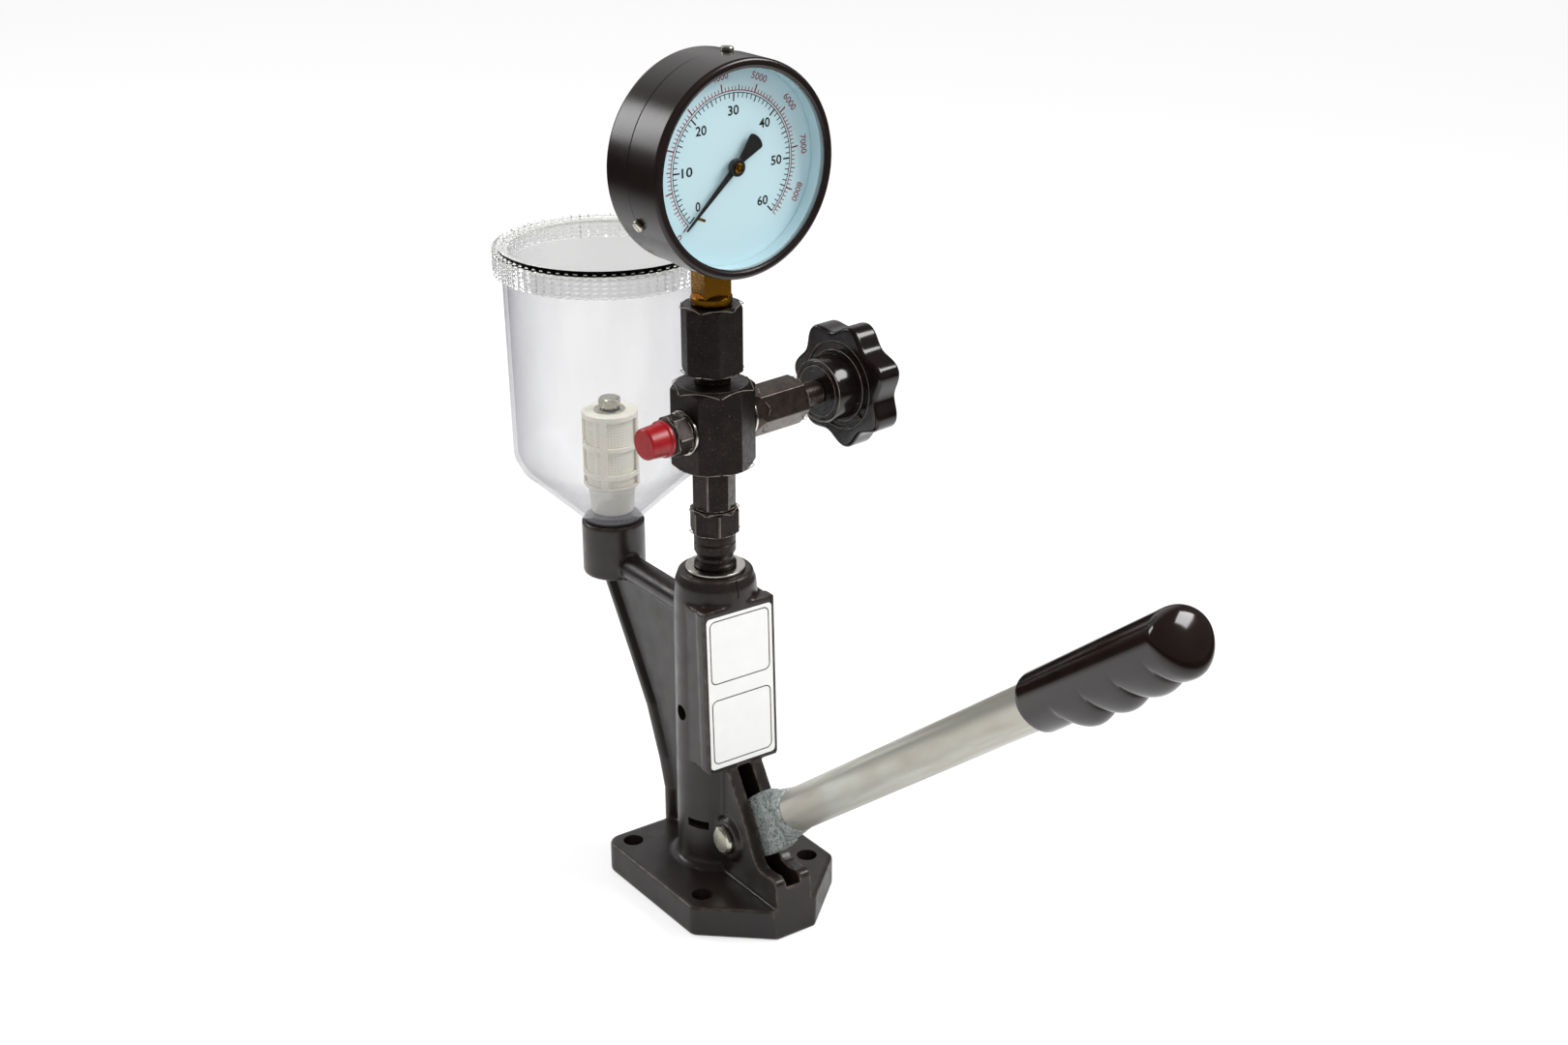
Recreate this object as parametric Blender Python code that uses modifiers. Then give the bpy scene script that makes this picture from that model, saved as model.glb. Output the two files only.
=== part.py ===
"""Diesel injector tester: a hand pump in a cast stand, with gauge, shut-off valve and fuel container.

Lengths are in metres and +Z is up. The origin is on the pump axis at the bottom of the foot plate.
The hand lever points towards -Y, the valve knob towards +X, the outlet towards -X and the fuel
container stands on the +Y side.
"""

from math import acos, asin, atan2, cos, pi, radians, sin, sqrt, tan

import bmesh
import bpy
from mathutils import Matrix, Vector

# Clearances and working values
clearance = 0.0003
overrun = 0.002
merge_distance = 0.00001
fine_steps = 32
column_steps = 28
round_steps = 18
small_steps = 12

# Foot plate of the stand
plate_half_width = 0.0437
plate_back = 0.0425
plate_side_front = 0.0400
plate_front = 0.0684
plate_front_half_width = 0.0115
plate_thickness = 0.0165
plate_back_corner = 0.0080
plate_side_corner = 0.0060
plate_front_corner = 0.0020
plate_edge_round = 0.0013
mount_hole_offset = 0.0324
mount_hole_radius = 0.0052

# Pump column of the stand
column_radius = 0.02115
column_top = 0.1758
shoulder_height = 0.0258
shoulder_shares = (
    (0.78, 0.0),
    (0.86, 0.01),
    (0.882, 0.035),
    (0.895, 0.09),
    (0.946, 0.19),
    (0.984, 0.53),
    (1.0, 1.0),
)
foot_flare = 0.0033
foot_height = 0.0050
foot_shares = ((0.0, 1.0), (0.14, 0.5), (0.5, 0.18), (1.0, 0.04))
chamber_radius = 0.0090
chamber_floor = 0.0200
barrel_bore_radius = 0.0100
barrel_length = 0.0430

# Label box on the front of the column
box_half_width = 0.0213
box_bottom = 0.0760
box_drop = 0.0126
box_front_top = 0.0204
box_front_bottom = 0.0233
box_back = 0.0040
box_frame_depth = 0.0068
box_waist_step = 0.0007
box_corner_round = 0.0012
label_margin = 0.0017
label_recess = 0.0005

# Clevis, pivot bosses and nose
clevis_half_width = 0.0106
clevis_slot_half_width = 0.0040
nose_height = 0.0298
nose_slant = 0.0026
rib_shares = (
    (0.984, 0.024),
    (0.911, 0.056),
    (0.840, 0.108),
    (0.760, 0.195),
    (0.581, 0.426),
    (0.412, 0.636),
    (0.0, 1.0),
)
slot_floor = 0.0205
slot_top = 0.0745
slot_lip_rise = 0.0070
slot_shares = ((0.73, 0.0), (0.877, 0.5), (0.965, 1.0))
pivot_share = 1.182
pivot_height = 0.0378
boss_radius = 0.0100
boss_end_radius = 0.0086
boss_height = 0.0026
pin_radius = 0.0050

# Openings in the column wall
side_hole_radius = 0.0041
side_hole_height = 0.1012
side_hole_shift = 0.0012
window_bottom = 0.0389
window_height = 0.0045
window_width = 0.0122
window_angle = radians(-64.6)

# Rear arm, container boss, strut and web
arm_drop = 0.0286
arm_radius = 0.00675
container_reach = 0.0964
fuel_boss_radius = 0.0165
fuel_boss_rise = 0.0227
fuel_boss_height = 0.0299
fuel_boss_edge = 0.0010
strut_radius = 0.0040
strut_foot = 0.0030
strut_base_reach = 0.0434
strut_lean = 0.0611
strut_top_gap = 0.0022
strut_shares = ((0.0, 0.0), (0.003, 0.218), (0.083, 0.331), (0.268, 0.520), (0.599, 0.743), (1.0, 1.0))
web_half_thickness = 0.0022
fuel_bore_radius = 0.0025
fuel_drop_offset = 0.0080
fuel_drop_radius = 0.0020
bolt_thread_radius = 0.0033
bolt_thread_depth = 0.0159

# Washer on the column and the delivery valve stack
top_washer_radius = 0.0149
top_washer_thickness = 0.0014
barrel_drop = 0.0128
fuel_port_radius = 0.0020
seat_thickness = 0.0057
seat_bore_radius = 0.0030
seat_radius = 0.0094
seat_seal_thickness = 0.0010
seat_seal_width = 0.0022
valve_head_radius = 0.0050
valve_head_height = 0.0034
valve_guide_length = 0.0048
valve_spigot_radius = 0.0022
valve_spigot_height = 0.0025
holder_bore_radius = 0.0060
holder_bore_gap = 0.0084
holder_thread_radius = 0.0097
holder_stub_radius = 0.0070
holder_rise = 0.0196
holder_foot_radius = 0.0105
holder_foot_thickness = 0.0016
holder_neck_radius = 0.0103
holder_neck_length = 0.0094
holder_waist_radius = 0.0089
holder_groove_depth = 0.0005
holder_waist_shares = ((0.79, 0.43), (0.55, 0.0), (0.30, 0.0), (0.12, 0.44))
oil_bore_radius = 0.0025
lock_nut_flats = 0.0220
lock_nut_height = 0.0125
lock_nut_turn = radians(-22.2)
riser_flats = 0.0187
riser_height = 0.0213
riser_turn = radians(8.7)
riser_thread_radius = 0.0075
riser_thread_length = 0.0132
riser_bore_depth = 0.0138
hex_chamfer = 0.0010

# Valve block
block_flats = 0.0362
block_height = 0.0424
block_turn = radians(6.85)
block_chamfer = 0.0023
block_bore_depth = 0.0135
cross_axis_rise = 0.0211
outlet_bore_depth = 0.0101
outlet_thread_radius = 0.0060
gland_bore_depth = 0.0091
gland_thread_radius = 0.0080
needle_chamber_depth = 0.0040
needle_chamber_radius = 0.0036
cross_bore_radius = 0.0020

# Outlet side
cross_washer_radius = 0.0110
cross_washer_thickness = 0.0013
outlet_flats = 0.0180
outlet_turn = radians(4.2)
outlet_hex_length = 0.0090
outlet_stub_radius = 0.0062
outlet_stub_length = 0.0110
outlet_gasket_radius = 0.0086
outlet_gasket_thickness = 0.0010
cap_flange_radius = 0.0091
cap_flange_thickness = 0.0020
cap_root_radius = 0.0083
cap_end_radius = 0.0077
cap_length = 0.0125
cap_wall = 0.0013
cap_edge = 0.0008

# Gland, needle, spindle and knob
gland_flats = 0.0217
gland_turn = radians(9.5)
gland_length = 0.0330
gland_bore_radius = 0.0065
gland_nose_length = 0.0042
gland_chamfer = 0.0012
gland_root_radius = 0.0106
gland_root_length = 0.0040
packing_length = 0.0042
needle_radius = 0.0030
needle_tip_radius = 0.0010
needle_tip_place = 0.0038
needle_cone_length = 0.0035
needle_length = 0.0067
needle_collar_radius = 0.0045
needle_collar_length = 0.0020
spindle_radius = 0.0061
spindle_tail_radius = 0.0050
spindle_tail_length = 0.0238
knob_hub_start = 0.0684
knob_hub_radius = 0.01615
knob_root_radius = 0.0173
knob_collar_radius = 0.0077
knob_collar_height = 0.0006
knob_hub_edge = 0.0008
knob_face = 0.0820
knob_tip_radius = 0.0326
knob_valley_radius = 0.0275
knob_lobes = 7
knob_lobe_steps = 6
knob_thickness = 0.0145
knob_lobe_turn = radians(3.0)
knob_edge_round = 0.0020
knob_dish_radius = 0.0232
knob_dish_depth = 0.0008

# Gauge coupling
neck_radius = 0.0087
neck_length = 0.0052
neck_groove_depth = 0.0005
nipple_radius = 0.0075
nipple_stud_length = 0.0130
nipple_length = 0.0137
coupler_flats = 0.0270
coupler_height = 0.0329
coupler_turn = radians(-22.2)
coupler_web = 0.0037
stem_thread_radius = 0.0066
gauge_seal_thickness = 0.0012
stem_collar_radius = 0.0100
stem_collar_height = 0.0045
stem_width = 0.0142
stem_turn = radians(-6.0)
stem_neck_radius = 0.0050
stem_bore_radius = 0.0015
stem_bore_gap = 0.0080
socket_length = 0.0170
socket_wall_gap = 0.0032
socket_half_width = 0.0055
socket_back = 0.0050

# Gauge
stem_reach = 0.0179
gauge_turn = radians(3.2)
case_radius = 0.0500
case_back = 0.0121
case_seam = 0.0060
case_wall = 0.0014
case_back_round = 0.0030
sleeve_inset = 0.0012
bezel_proud = 0.0005
bezel_front = 0.0280
opening_inset = 0.0043
bezel_wall = 0.0013
bezel_lip = 0.0012
bezel_lip_shares = ((1.25, 0.0), (0.9, 0.4), (0.0, 0.6))
bezel_edge_round = 0.0019
dial_front = 0.0173
dial_thickness = 0.0012
glass_thickness = 0.0020
dial_ring_inset = 0.0041
pointer_lift = 0.0023
pointer_thickness = 0.0010
pointer_inset = 0.0125
pointer_tip_half_width = 0.0003
pointer_root_half_width = 0.0014
pointer_tail_length = 0.0176
pointer_tail_half_width = 0.0044
pointer_tail_flare = 0.0134
pointer_tail_shares = ((0.82, 1.0), (0.91, 0.96), (0.97, 0.6), (1.0, 0.2))
pointer_hub_radius = 0.0040
pointer_hub_height = 0.0027
pointer_rest = radians(-138.0)
arbor_radius = 0.0014
arbor_cap_radius = 0.0023
arbor_cap_height = 0.0007
arbor_tail = 0.0010
stop_pin_radius = 0.0007
stop_pin_place = 0.0288
stop_pin_height = 0.0050
movement_back = 0.0020
movement_front = 0.0100
movement_plate = 0.0012
movement_half_width = 0.0090
movement_post_radius = 0.0018
movement_top = 0.0082
movement_foot = 0.0068
gear_module = 0.0007
gear_addendum = 0.00055
gear_dedendum = 0.00080
gear_thickness = 0.0022
gear_plane = 0.0065
pinion_teeth = 8
sector_full_teeth = 40
sector_side_teeth = 4
tooth_root_share = 0.40
tooth_tip_share = 0.18
pointer_swing = radians(270.0)
sector_hub_radius = 0.0032
sector_rim = 0.0024
sector_window_share = 0.62
sector_tail_angle = radians(-83.0)
sector_tail_length = 0.0070
sector_tail_half_width = 0.0016
link_pin_radius = 0.0008
link_length = 0.0265
link_half_width = 0.0019
link_thickness = 0.0012
link_angle = radians(36.0)
coil_inset = 0.0200
coil_half_thickness = 0.0022
coil_half_width = 0.0045
coil_place = 0.0040
coil_sweep = radians(262.0)
coil_steps = 16
bezel_screw_place = 0.0086
bezel_screw_angles = (radians(85.0), radians(205.0), radians(325.0))
bezel_screw_head_radius = 0.0030
bezel_screw_head_height = 0.0018
bezel_screw_radius = 0.0011
bezel_screw_length = 0.0038
bezel_screw_slot_width = 0.0008
bezel_screw_slot_depth = 0.0008

# Hand lever
lever_rest = radians(37.4)
lever_swing = 0.56
head_half_thickness = 0.0037
head_height = 0.0150
head_hub_radius = 0.0100
head_top_shares = ((1.0, 0.69), (0.81, 0.81), (0.57, 0.965), (0.43, 0.965), (0.24, 0.79))
head_bottom_shares = ((0.29, -0.985), (0.43, -1.0), (0.62, -0.90), (0.81, -0.775), (1.0, -0.69))
tongue_half_width = 0.0030
tongue_root = 0.0118
flare_start = 0.0420
flare_length = 0.0100
flare_shares = ((0.0, 0.0, 6.0), (0.2, 0.10, 5.0), (0.45, 0.45, 3.4), (0.72, 0.84, 2.4), (1.0, 1.0, 2.0))
lever_tube_radius = 0.01065
lever_tube_wall = 0.0020
lever_tube_end = 0.3665
spigot_length = 0.0140
grip_start = 0.2600
grip_front_round = 0.0010
grip_radius = 0.0125
grip_end_wall = 0.0042
grip_notch_depth = 0.0005
grip_lobe_depth = 0.0034
grip_lobe_pitch = 0.0243
grip_lobes = 4
grip_lobe_steps = 5
grip_bulb_radius = 0.0145
grip_bulb_shares = ((0.2, 0.1), (0.45, 0.7), (0.7, 1.0))
grip_edge_round = 0.0025
grip_sides = 14

# Pivot pin and its clip
pin_head_radius = 0.00775
pin_head_height = 0.0030
pin_head_round = 0.0008
pin_groove_depth = 0.0008
pin_groove_offset = 0.0003
clip_thickness = 0.0008
clip_radius = 0.0080
clip_gap = 0.0056
pin_tail_length = 0.0015

# Tappet, plunger and springs
dome_radius = 0.0050
tappet_radius = 0.0087
tappet_bottom = 0.0380
tappet_thickness = 0.0030
tappet_edge = 0.0006
plunger_radius = 0.0037
plunger_foot_radius = 0.0050
plunger_foot_height = 0.0025
plunger_top_gap = 0.0038
spring_radius = 0.0068
spring_wire_radius = 0.0009
spring_turns = 14
valve_spring_radius = 0.0036
valve_spring_wire_radius = 0.00045
valve_spring_turns = 6
end_turn_gap = 0.0005
points_per_turn = 8

# Fuel container
bowl_seal_thickness = 0.0012
bowl_seal_inner_radius = 0.0106
bowl_seal_outer_radius = 0.0150
bowl_foot_radius = 0.0156
bowl_cone_radius = 0.04675
bowl_cone_height = 0.0298
bowl_corner_radius = 0.0488
bowl_corner_height = 0.0341
bowl_base_radius = 0.05007
bowl_base_height = 0.0383
bowl_neck_radius = 0.0514
bowl_neck_height = 0.0148
bowl_height = 0.1423
bowl_wall = 0.0022
bowl_floor = 0.0028
bolt_hole_radius = 0.0036
strainer_radius = 0.0146
strainer_wall = 0.0016
strainer_height = 0.0553
strainer_skirt_height = 0.0140
strainer_shoulder = 0.0012
strainer_step = 0.0022
strainer_foot_radius = 0.0109
strainer_ring_height = 0.0022
strainer_rings = (0.0151, 0.0222, 0.0372)
strainer_window_width = 0.0176
gauze_wall = 0.0007
bolt_head_flats = 0.0100
bolt_head_height = 0.0056
bolt_head_chamfer = 0.0005
bolt_turn = radians(10)
bolt_radius = 0.0030
bolt_end_gap = 0.0015
bolt_washer_radius = 0.0080
bolt_washer_thickness = 0.0006
lid_gasket_thickness = 0.0016
lid_gasket_width = 0.0031
lid_panel = 0.0022
lid_rim_rise = 0.0011
lid_rim_radius = 0.0508
lid_height = 0.0138
lid_wall = 0.0024
lid_side_gap = 0.0007
lid_rib_height = 0.00165
lid_rib_root = 0.0003
lid_ribs = 76
lid_rib_step = 0.0010
lid_edge_round = 0.0008

# Places that follow from the sizes
arm_height = column_top - arm_drop
fuel_boss_top = arm_height + fuel_boss_rise
strut_rise = arm_height - strut_foot - strut_top_gap
box_top = column_top - box_drop
barrel_top = column_top - barrel_drop
barrel_seat = barrel_top - barrel_length
holder_shoulder = column_top + holder_rise
holder_bore_top = holder_shoulder - holder_bore_gap
washer_top = column_top + clearance + top_washer_thickness
foot_bottom = washer_top + clearance
seat_bottom = barrel_top + clearance
seat_top = seat_bottom + seat_thickness
holder_bottom = seat_top + clearance + seat_seal_thickness + clearance
valve_head_bottom = seat_top + clearance
lock_nut_bottom = holder_shoulder + clearance
riser_bottom = lock_nut_bottom + lock_nut_height + clearance
riser_top = riser_bottom + riser_height
block_bottom = riser_top + clearance
block_top = block_bottom + block_height
cross_height = block_bottom + cross_axis_rise
neck_bottom = block_top + clearance
coupler_bottom = neck_bottom + neck_length + clearance
coupler_top = coupler_bottom + coupler_height
collar_bottom = coupler_top + clearance
stem_square_top = collar_bottom + stem_reach
case_sleeve_radius = case_radius - sleeve_inset
bezel_radius = case_radius + bezel_proud
bezel_opening = case_radius - opening_inset
dial_ring_inner_radius = case_radius - dial_ring_inset
pointer_length = case_radius - pointer_inset
coil_radius = case_radius - coil_inset
gauge_height = stem_square_top + clearance + bezel_radius
socket_bottom = gauge_height - case_sleeve_radius + case_wall + socket_wall_gap
socket_top = socket_bottom + socket_length
stem_bore_top = socket_top - stem_bore_gap
hex_face = block_flats / 2
outlet_hex_face = hex_face + clearance + cross_washer_thickness + clearance
outlet_hex_end = outlet_hex_face + outlet_hex_length
cap_start = outlet_hex_end + clearance + outlet_gasket_thickness + clearance
needle_end = needle_tip_place + needle_cone_length + needle_length
gland_hex_start = outlet_hex_face
bezel_seam = case_seam + clearance
dial_back = dial_front - dial_thickness
sleeve_front = dial_back - clearance
glass_front = bezel_front - bezel_lip - clearance
glass_back = glass_front - glass_thickness
pointer_back = dial_front + pointer_lift
barrel_radius = barrel_bore_radius - clearance
plunger_bore_radius = plunger_radius + clearance
pivot_out = pivot_share * column_radius
tongue_length = pivot_out + tongue_half_width
boss_face = clevis_half_width + boss_height
tongue_bend = lever_rest - lever_swing / 2
dome_height = (
    tongue_half_width + clearance + dome_radius - pivot_out * sin(lever_swing / 2)
) / cos(lever_swing / 2)
tappet_top = tappet_bottom + tappet_thickness
plunger_stroke = 2 * pivot_out * tan(lever_swing / 2)
plunger_top = barrel_top - plunger_stroke - plunger_top_gap
bowl_bottom = fuel_boss_top + clearance + bowl_seal_thickness + clearance
bowl_rim = bowl_bottom + bowl_height
strainer_bottom = bowl_bottom + bowl_floor + clearance
strainer_top = strainer_bottom + strainer_height
bolt_washer_bottom = strainer_top + clearance
bolt_head_bottom = bolt_washer_bottom + bolt_washer_thickness + clearance
lid_underside = bowl_rim + clearance + lid_gasket_thickness + clearance
lid_top = lid_underside + lid_panel + lid_rim_rise
lid_inner_radius = bowl_neck_radius + lid_side_gap
lid_core_radius = lid_inner_radius + lid_wall

parts = None
cutters = None

# Colour, roughness and metallic value of each finish
FINISHES = {
    "coated casting": ((0.024, 0.021, 0.021), 0.45, 0.0),
    "black oxide steel": ((0.022, 0.018, 0.017), 0.38, 0.9),
    "ground steel": ((0.55, 0.54, 0.52), 0.25, 1.0),
    "zinc plated steel": ((0.56, 0.58, 0.56), 0.35, 1.0),
    "rough zinc": ((0.28, 0.33, 0.34), 0.60, 0.8),
    "brass": ((0.40, 0.20, 0.05), 0.30, 1.0),
    "copper": ((0.60, 0.28, 0.16), 0.35, 1.0),
    "spring steel": ((0.22, 0.22, 0.22), 0.35, 1.0),
    "black enamel": ((0.020, 0.018, 0.018), 0.30, 0.0),
    "dial paint": ((0.58, 0.75, 0.80), 0.50, 0.0),
    "glass": ((0.85, 0.90, 0.90), 0.03, 0.0),
    "pointer paint": ((0.012, 0.012, 0.012), 0.40, 0.0),
    "black plastic": ((0.015, 0.012, 0.012), 0.18, 0.0),
    "red plastic": ((0.46, 0.015, 0.020), 0.40, 0.0),
    "black rubber": ((0.015, 0.015, 0.015), 0.70, 0.0),
    "clear plastic": ((0.86, 0.86, 0.88), 0.12, 0.0),
    "ivory plastic": ((0.82, 0.79, 0.68), 0.45, 0.0),
    "filter gauze": ((0.76, 0.73, 0.62), 0.60, 0.0),
}


def clear_scene():
    for obj in list(bpy.data.objects):
        bpy.data.objects.remove(obj, do_unlink=True)


def make_collections():
    global parts, cutters
    parts = bpy.data.collections.new("diesel_injector_tester")
    cutters = bpy.data.collections.new("cutters")
    for collection in (parts, cutters):
        bpy.context.scene.collection.children.link(collection)


def paint(obj, kind):
    """Give the object its own material of this finish."""
    colour, roughness, metallic = FINISHES[kind]
    material = bpy.data.materials.new(f"{obj.name} {kind}")
    material.use_nodes = True
    shader = material.node_tree.nodes["Principled BSDF"]
    shader.inputs["Base Color"].default_value = (*colour, 1.0)
    shader.inputs["Roughness"].default_value = roughness
    shader.inputs["Metallic"].default_value = metallic
    obj.data.materials.clear()
    obj.data.materials.append(material)


def axes(name, location, rotation=(0, 0, 0), parent=None):
    """An empty that carries parts in its own axes."""
    empty = bpy.data.objects.new(name, None)
    empty.location = location
    empty.rotation_euler = rotation
    empty.parent = parent
    parts.objects.link(empty)
    return empty


def place(name, data, parent=None, location=(0, 0, 0), rotation=(0, 0, 0)):
    """Put mesh or curve data in the scene as a helper; finish() makes a helper a part."""
    obj = bpy.data.objects.new(name, data)
    obj.location = location
    obj.rotation_euler = rotation
    obj.parent = parent
    obj.hide_render = True
    obj.display_type = "WIRE"
    cutters.objects.link(obj)
    return obj


def finish(obj, kind):
    """Turn a helper into a finished part."""
    cutters.objects.unlink(obj)
    parts.objects.link(obj)
    obj.hide_render = False
    obj.display_type = "TEXTURED"
    if obj.type == "MESH":
        obj.data.shade_smooth()
        obj.data.set_sharp_from_angle(angle=radians(32))
    paint(obj, kind)
    return obj


def combine(target, other, operation):
    modifier = target.modifiers.new(operation.title(), "BOOLEAN")
    modifier.operation = operation
    modifier.solver = "EXACT"
    modifier.object = other


def cut(target, *others):
    for other in others:
        combine(target, other, "DIFFERENCE")


def join(target, *others):
    for other in others:
        combine(target, other, "UNION")


def turned(name, outer, inner=None, steps=round_steps, **placing):
    """A turned part. Profiles are (radius, height) from top to bottom; with no inner one it is solid."""
    if inner:
        points = list(outer) + list(reversed(inner))
    else:
        points = [(0, outer[0][1]), *outer, (0, outer[-1][1])]
    count = len(points)
    pairs = [(i, (i + 1) % count) for i in range(count)]
    edges = [(a, b) for a, b in pairs if points[a][0] > 0 or points[b][0] > 0]
    mesh = bpy.data.meshes.new(name)
    mesh.from_pydata([(radius, 0, height) for radius, height in points], edges, [])
    obj = place(name, mesh, **placing)
    screw = obj.modifiers.new("Turn", "SCREW")
    screw.steps = steps
    screw.render_steps = steps
    screw.use_merge_vertices = True
    screw.merge_threshold = merge_distance
    return obj


def ring(name, outer_radius, inner_radius, bottom, top, steps=round_steps, **placing):
    outer = [(outer_radius, top), (outer_radius, bottom)]
    inner = [(inner_radius, top), (inner_radius, bottom)]
    return turned(name, outer, inner, steps, **placing)


def prism(name, sides, radius, bottom, top, **placing):
    """A cylinder or polygon bar between two heights on its own Z axis."""
    mesh = bpy.data.meshes.new(name)
    shape = bmesh.new()
    bmesh.ops.create_cone(
        shape, cap_ends=True, segments=sides, radius1=radius, radius2=radius, depth=top - bottom
    )
    bmesh.ops.translate(shape, verts=shape.verts, vec=(0, 0, (top + bottom) / 2))
    shape.to_mesh(mesh)
    shape.free()
    return place(name, mesh, **placing)


def box(name, low, high, **placing):
    """A box between two corners."""
    mesh = bpy.data.meshes.new(name)
    shape = bmesh.new()
    bmesh.ops.create_cube(shape, size=1)
    bmesh.ops.scale(shape, verts=shape.verts, vec=Vector(high) - Vector(low))
    bmesh.ops.translate(shape, verts=shape.verts, vec=(Vector(low) + Vector(high)) / 2)
    shape.to_mesh(mesh)
    shape.free()
    return place(name, mesh, **placing)


def as_mesh(curve_object, move=None):
    """Replace a curve object by a closed mesh object in the same place."""
    bpy.context.view_layer.update()
    graph = bpy.context.evaluated_depsgraph_get()
    mesh = bpy.data.meshes.new_from_object(curve_object.evaluated_get(graph))
    shape = bmesh.new()
    shape.from_mesh(mesh)
    bmesh.ops.remove_doubles(shape, verts=shape.verts, dist=merge_distance)
    shape.to_mesh(mesh)
    shape.free()
    if move:
        mesh.transform(move)
    name = curve_object.name
    placing = {
        "parent": curve_object.parent,
        "location": curve_object.location.copy(),
        "rotation": curve_object.rotation_euler.copy(),
    }
    bpy.data.objects.remove(curve_object, do_unlink=True)
    return place(name, mesh, **placing)


def flat(name, outline, low, high, holes=(), edge=0, **placing):
    """A flat piece: an outline in its own XY plane filled between two heights, its edges rounded."""
    curve = bpy.data.curves.new(name, "CURVE")
    curve.dimensions = "2D"
    curve.fill_mode = "BOTH"
    curve.extrude = (high - low) / 2 - edge
    curve.bevel_depth = edge
    curve.bevel_resolution = 1 if edge else 0
    curve.offset = -edge
    for loop in (outline, *holes):
        spline = curve.splines.new("POLY")
        spline.points.add(len(loop) - 1)
        for point, (x, y) in zip(spline.points, loop):
            point.co = (x, y, 0, 1)
        spline.use_cyclic_u = True
    return as_mesh(place(name, curve, **placing), Matrix.Translation((0, 0, (low + high) / 2)))


def bar(name, route, radius, resolution=2, **placing):
    """A round bar along a route, with closed ends."""
    curve = bpy.data.curves.new(name, "CURVE")
    curve.dimensions = "3D"
    curve.bevel_depth = radius
    curve.bevel_resolution = resolution
    curve.use_fill_caps = True
    spline = curve.splines.new("POLY")
    spline.points.add(len(route) - 1)
    for point, spot in zip(spline.points, route):
        point.co = (*spot, 1)
    return place(name, curve, **placing)


def loft(name, sections, **placing):
    """A closed skin through sections of equal point counts."""
    mesh = bpy.data.meshes.new(name)
    shape = bmesh.new()
    rows = [[shape.verts.new(point) for point in section] for section in sections]
    count = len(rows[0])
    for row, following in zip(rows, rows[1:]):
        for i in range(count):
            j = (i + 1) % count
            shape.faces.new((row[i], row[j], following[j], following[i]))
    shape.faces.new(list(reversed(rows[0])))
    shape.faces.new(rows[-1])
    bmesh.ops.recalc_face_normals(shape, faces=shape.faces)
    shape.to_mesh(mesh)
    shape.free()
    return place(name, mesh, **placing)


def arc(centre, radius, start, end, steps):
    """Points on an arc from one angle to another, both included."""
    angles = [start + (end - start) * i / steps for i in range(steps + 1)]
    return [(centre[0] + radius * cos(a), centre[1] + radius * sin(a)) for a in angles]


def rounded(corners, steps=4):
    """An outline whose corners (x, y, radius) are rounded off."""
    outline = []
    for i, (x, y, radius) in enumerate(corners):
        here = Vector((x, y))
        back = (Vector(corners[i - 1][:2]) - here).normalized()
        ahead = (Vector(corners[(i + 1) % len(corners)][:2]) - here).normalized()
        half = back.angle(ahead) / 2
        centre = here + (back + ahead).normalized() * radius / sin(half)
        first = here + back * radius / tan(half) - centre
        last = here + ahead * radius / tan(half) - centre
        start = atan2(first.y, first.x)
        turn = (atan2(last.y, last.x) - start + pi) % (2 * pi) - pi
        outline += arc(centre, radius, start, start + turn, steps)
    return outline


def hex_blank(flats, bottom, top, chamfer=hex_chamfer):
    """The turned outline of a hexagon with chamfered ends, wide enough to leave its flats alone."""
    corner = flats / sqrt(3)
    face = corner - sqrt(3) * chamfer
    wide = corner + overrun
    drop = (wide - face) / sqrt(3)
    return [(face, top), (wide, top - drop), (wide, bottom + drop), (face, bottom)]


def turned_hex(name, flats, outer, inner=None, turn=0, steps=round_steps, **placing):
    """A part turned from hexagon bar."""
    placing["rotation"] = (0, 0, turn)
    piece = prism(name, 6, flats / sqrt(3), outer[-1][1] - overrun, outer[0][1] + overrun, **placing)
    blank = turned(name + "_blank", outer, inner, steps, **placing)
    combine(piece, blank, "INTERSECT")
    return piece


def coil_points(radius, wire_radius, bottom, top, turns):
    """The centre line of a compression spring with one close turn at each end."""
    close_pitch = 2 * wire_radius + end_turn_gap
    open_pitch = (top - bottom - 2 * wire_radius - 2 * close_pitch) / (turns - 2)
    points = []
    for i in range(turns * points_per_turn + 1):
        done = i / points_per_turn
        closed = min(done, 1) + max(done - turns + 1, 0)
        height = bottom + wire_radius + closed * close_pitch + (done - closed) * open_pitch
        points.append((radius * cos(2 * pi * done), radius * sin(2 * pi * done), height))
    return points


def print_least_gap(name, points, wire_radius):
    """Say how close the coil comes to itself, from one turn to the next."""
    nearest = min(
        (Vector(a) - Vector(b)).length
        for i, a in enumerate(points)
        for b in points[i + points_per_turn // 2 :]
    )
    print(f"{name}: least gap to itself {(nearest - 2 * wire_radius) / clearance:.2f} clearances")


def spring(name, radius, wire_radius, bottom, top, turns, **placing):
    points = coil_points(radius, wire_radius, bottom, top, turns)
    print_least_gap(name, points, wire_radius)
    return bar(name, points, wire_radius, resolution=1, **placing)


def round_edges(obj, width):
    bevel = obj.modifiers.new("Rounding", "BEVEL")
    bevel.width = width
    bevel.segments = 2
    bevel.limit_method = "ANGLE"
    bevel.angle_limit = radians(40)


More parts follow.
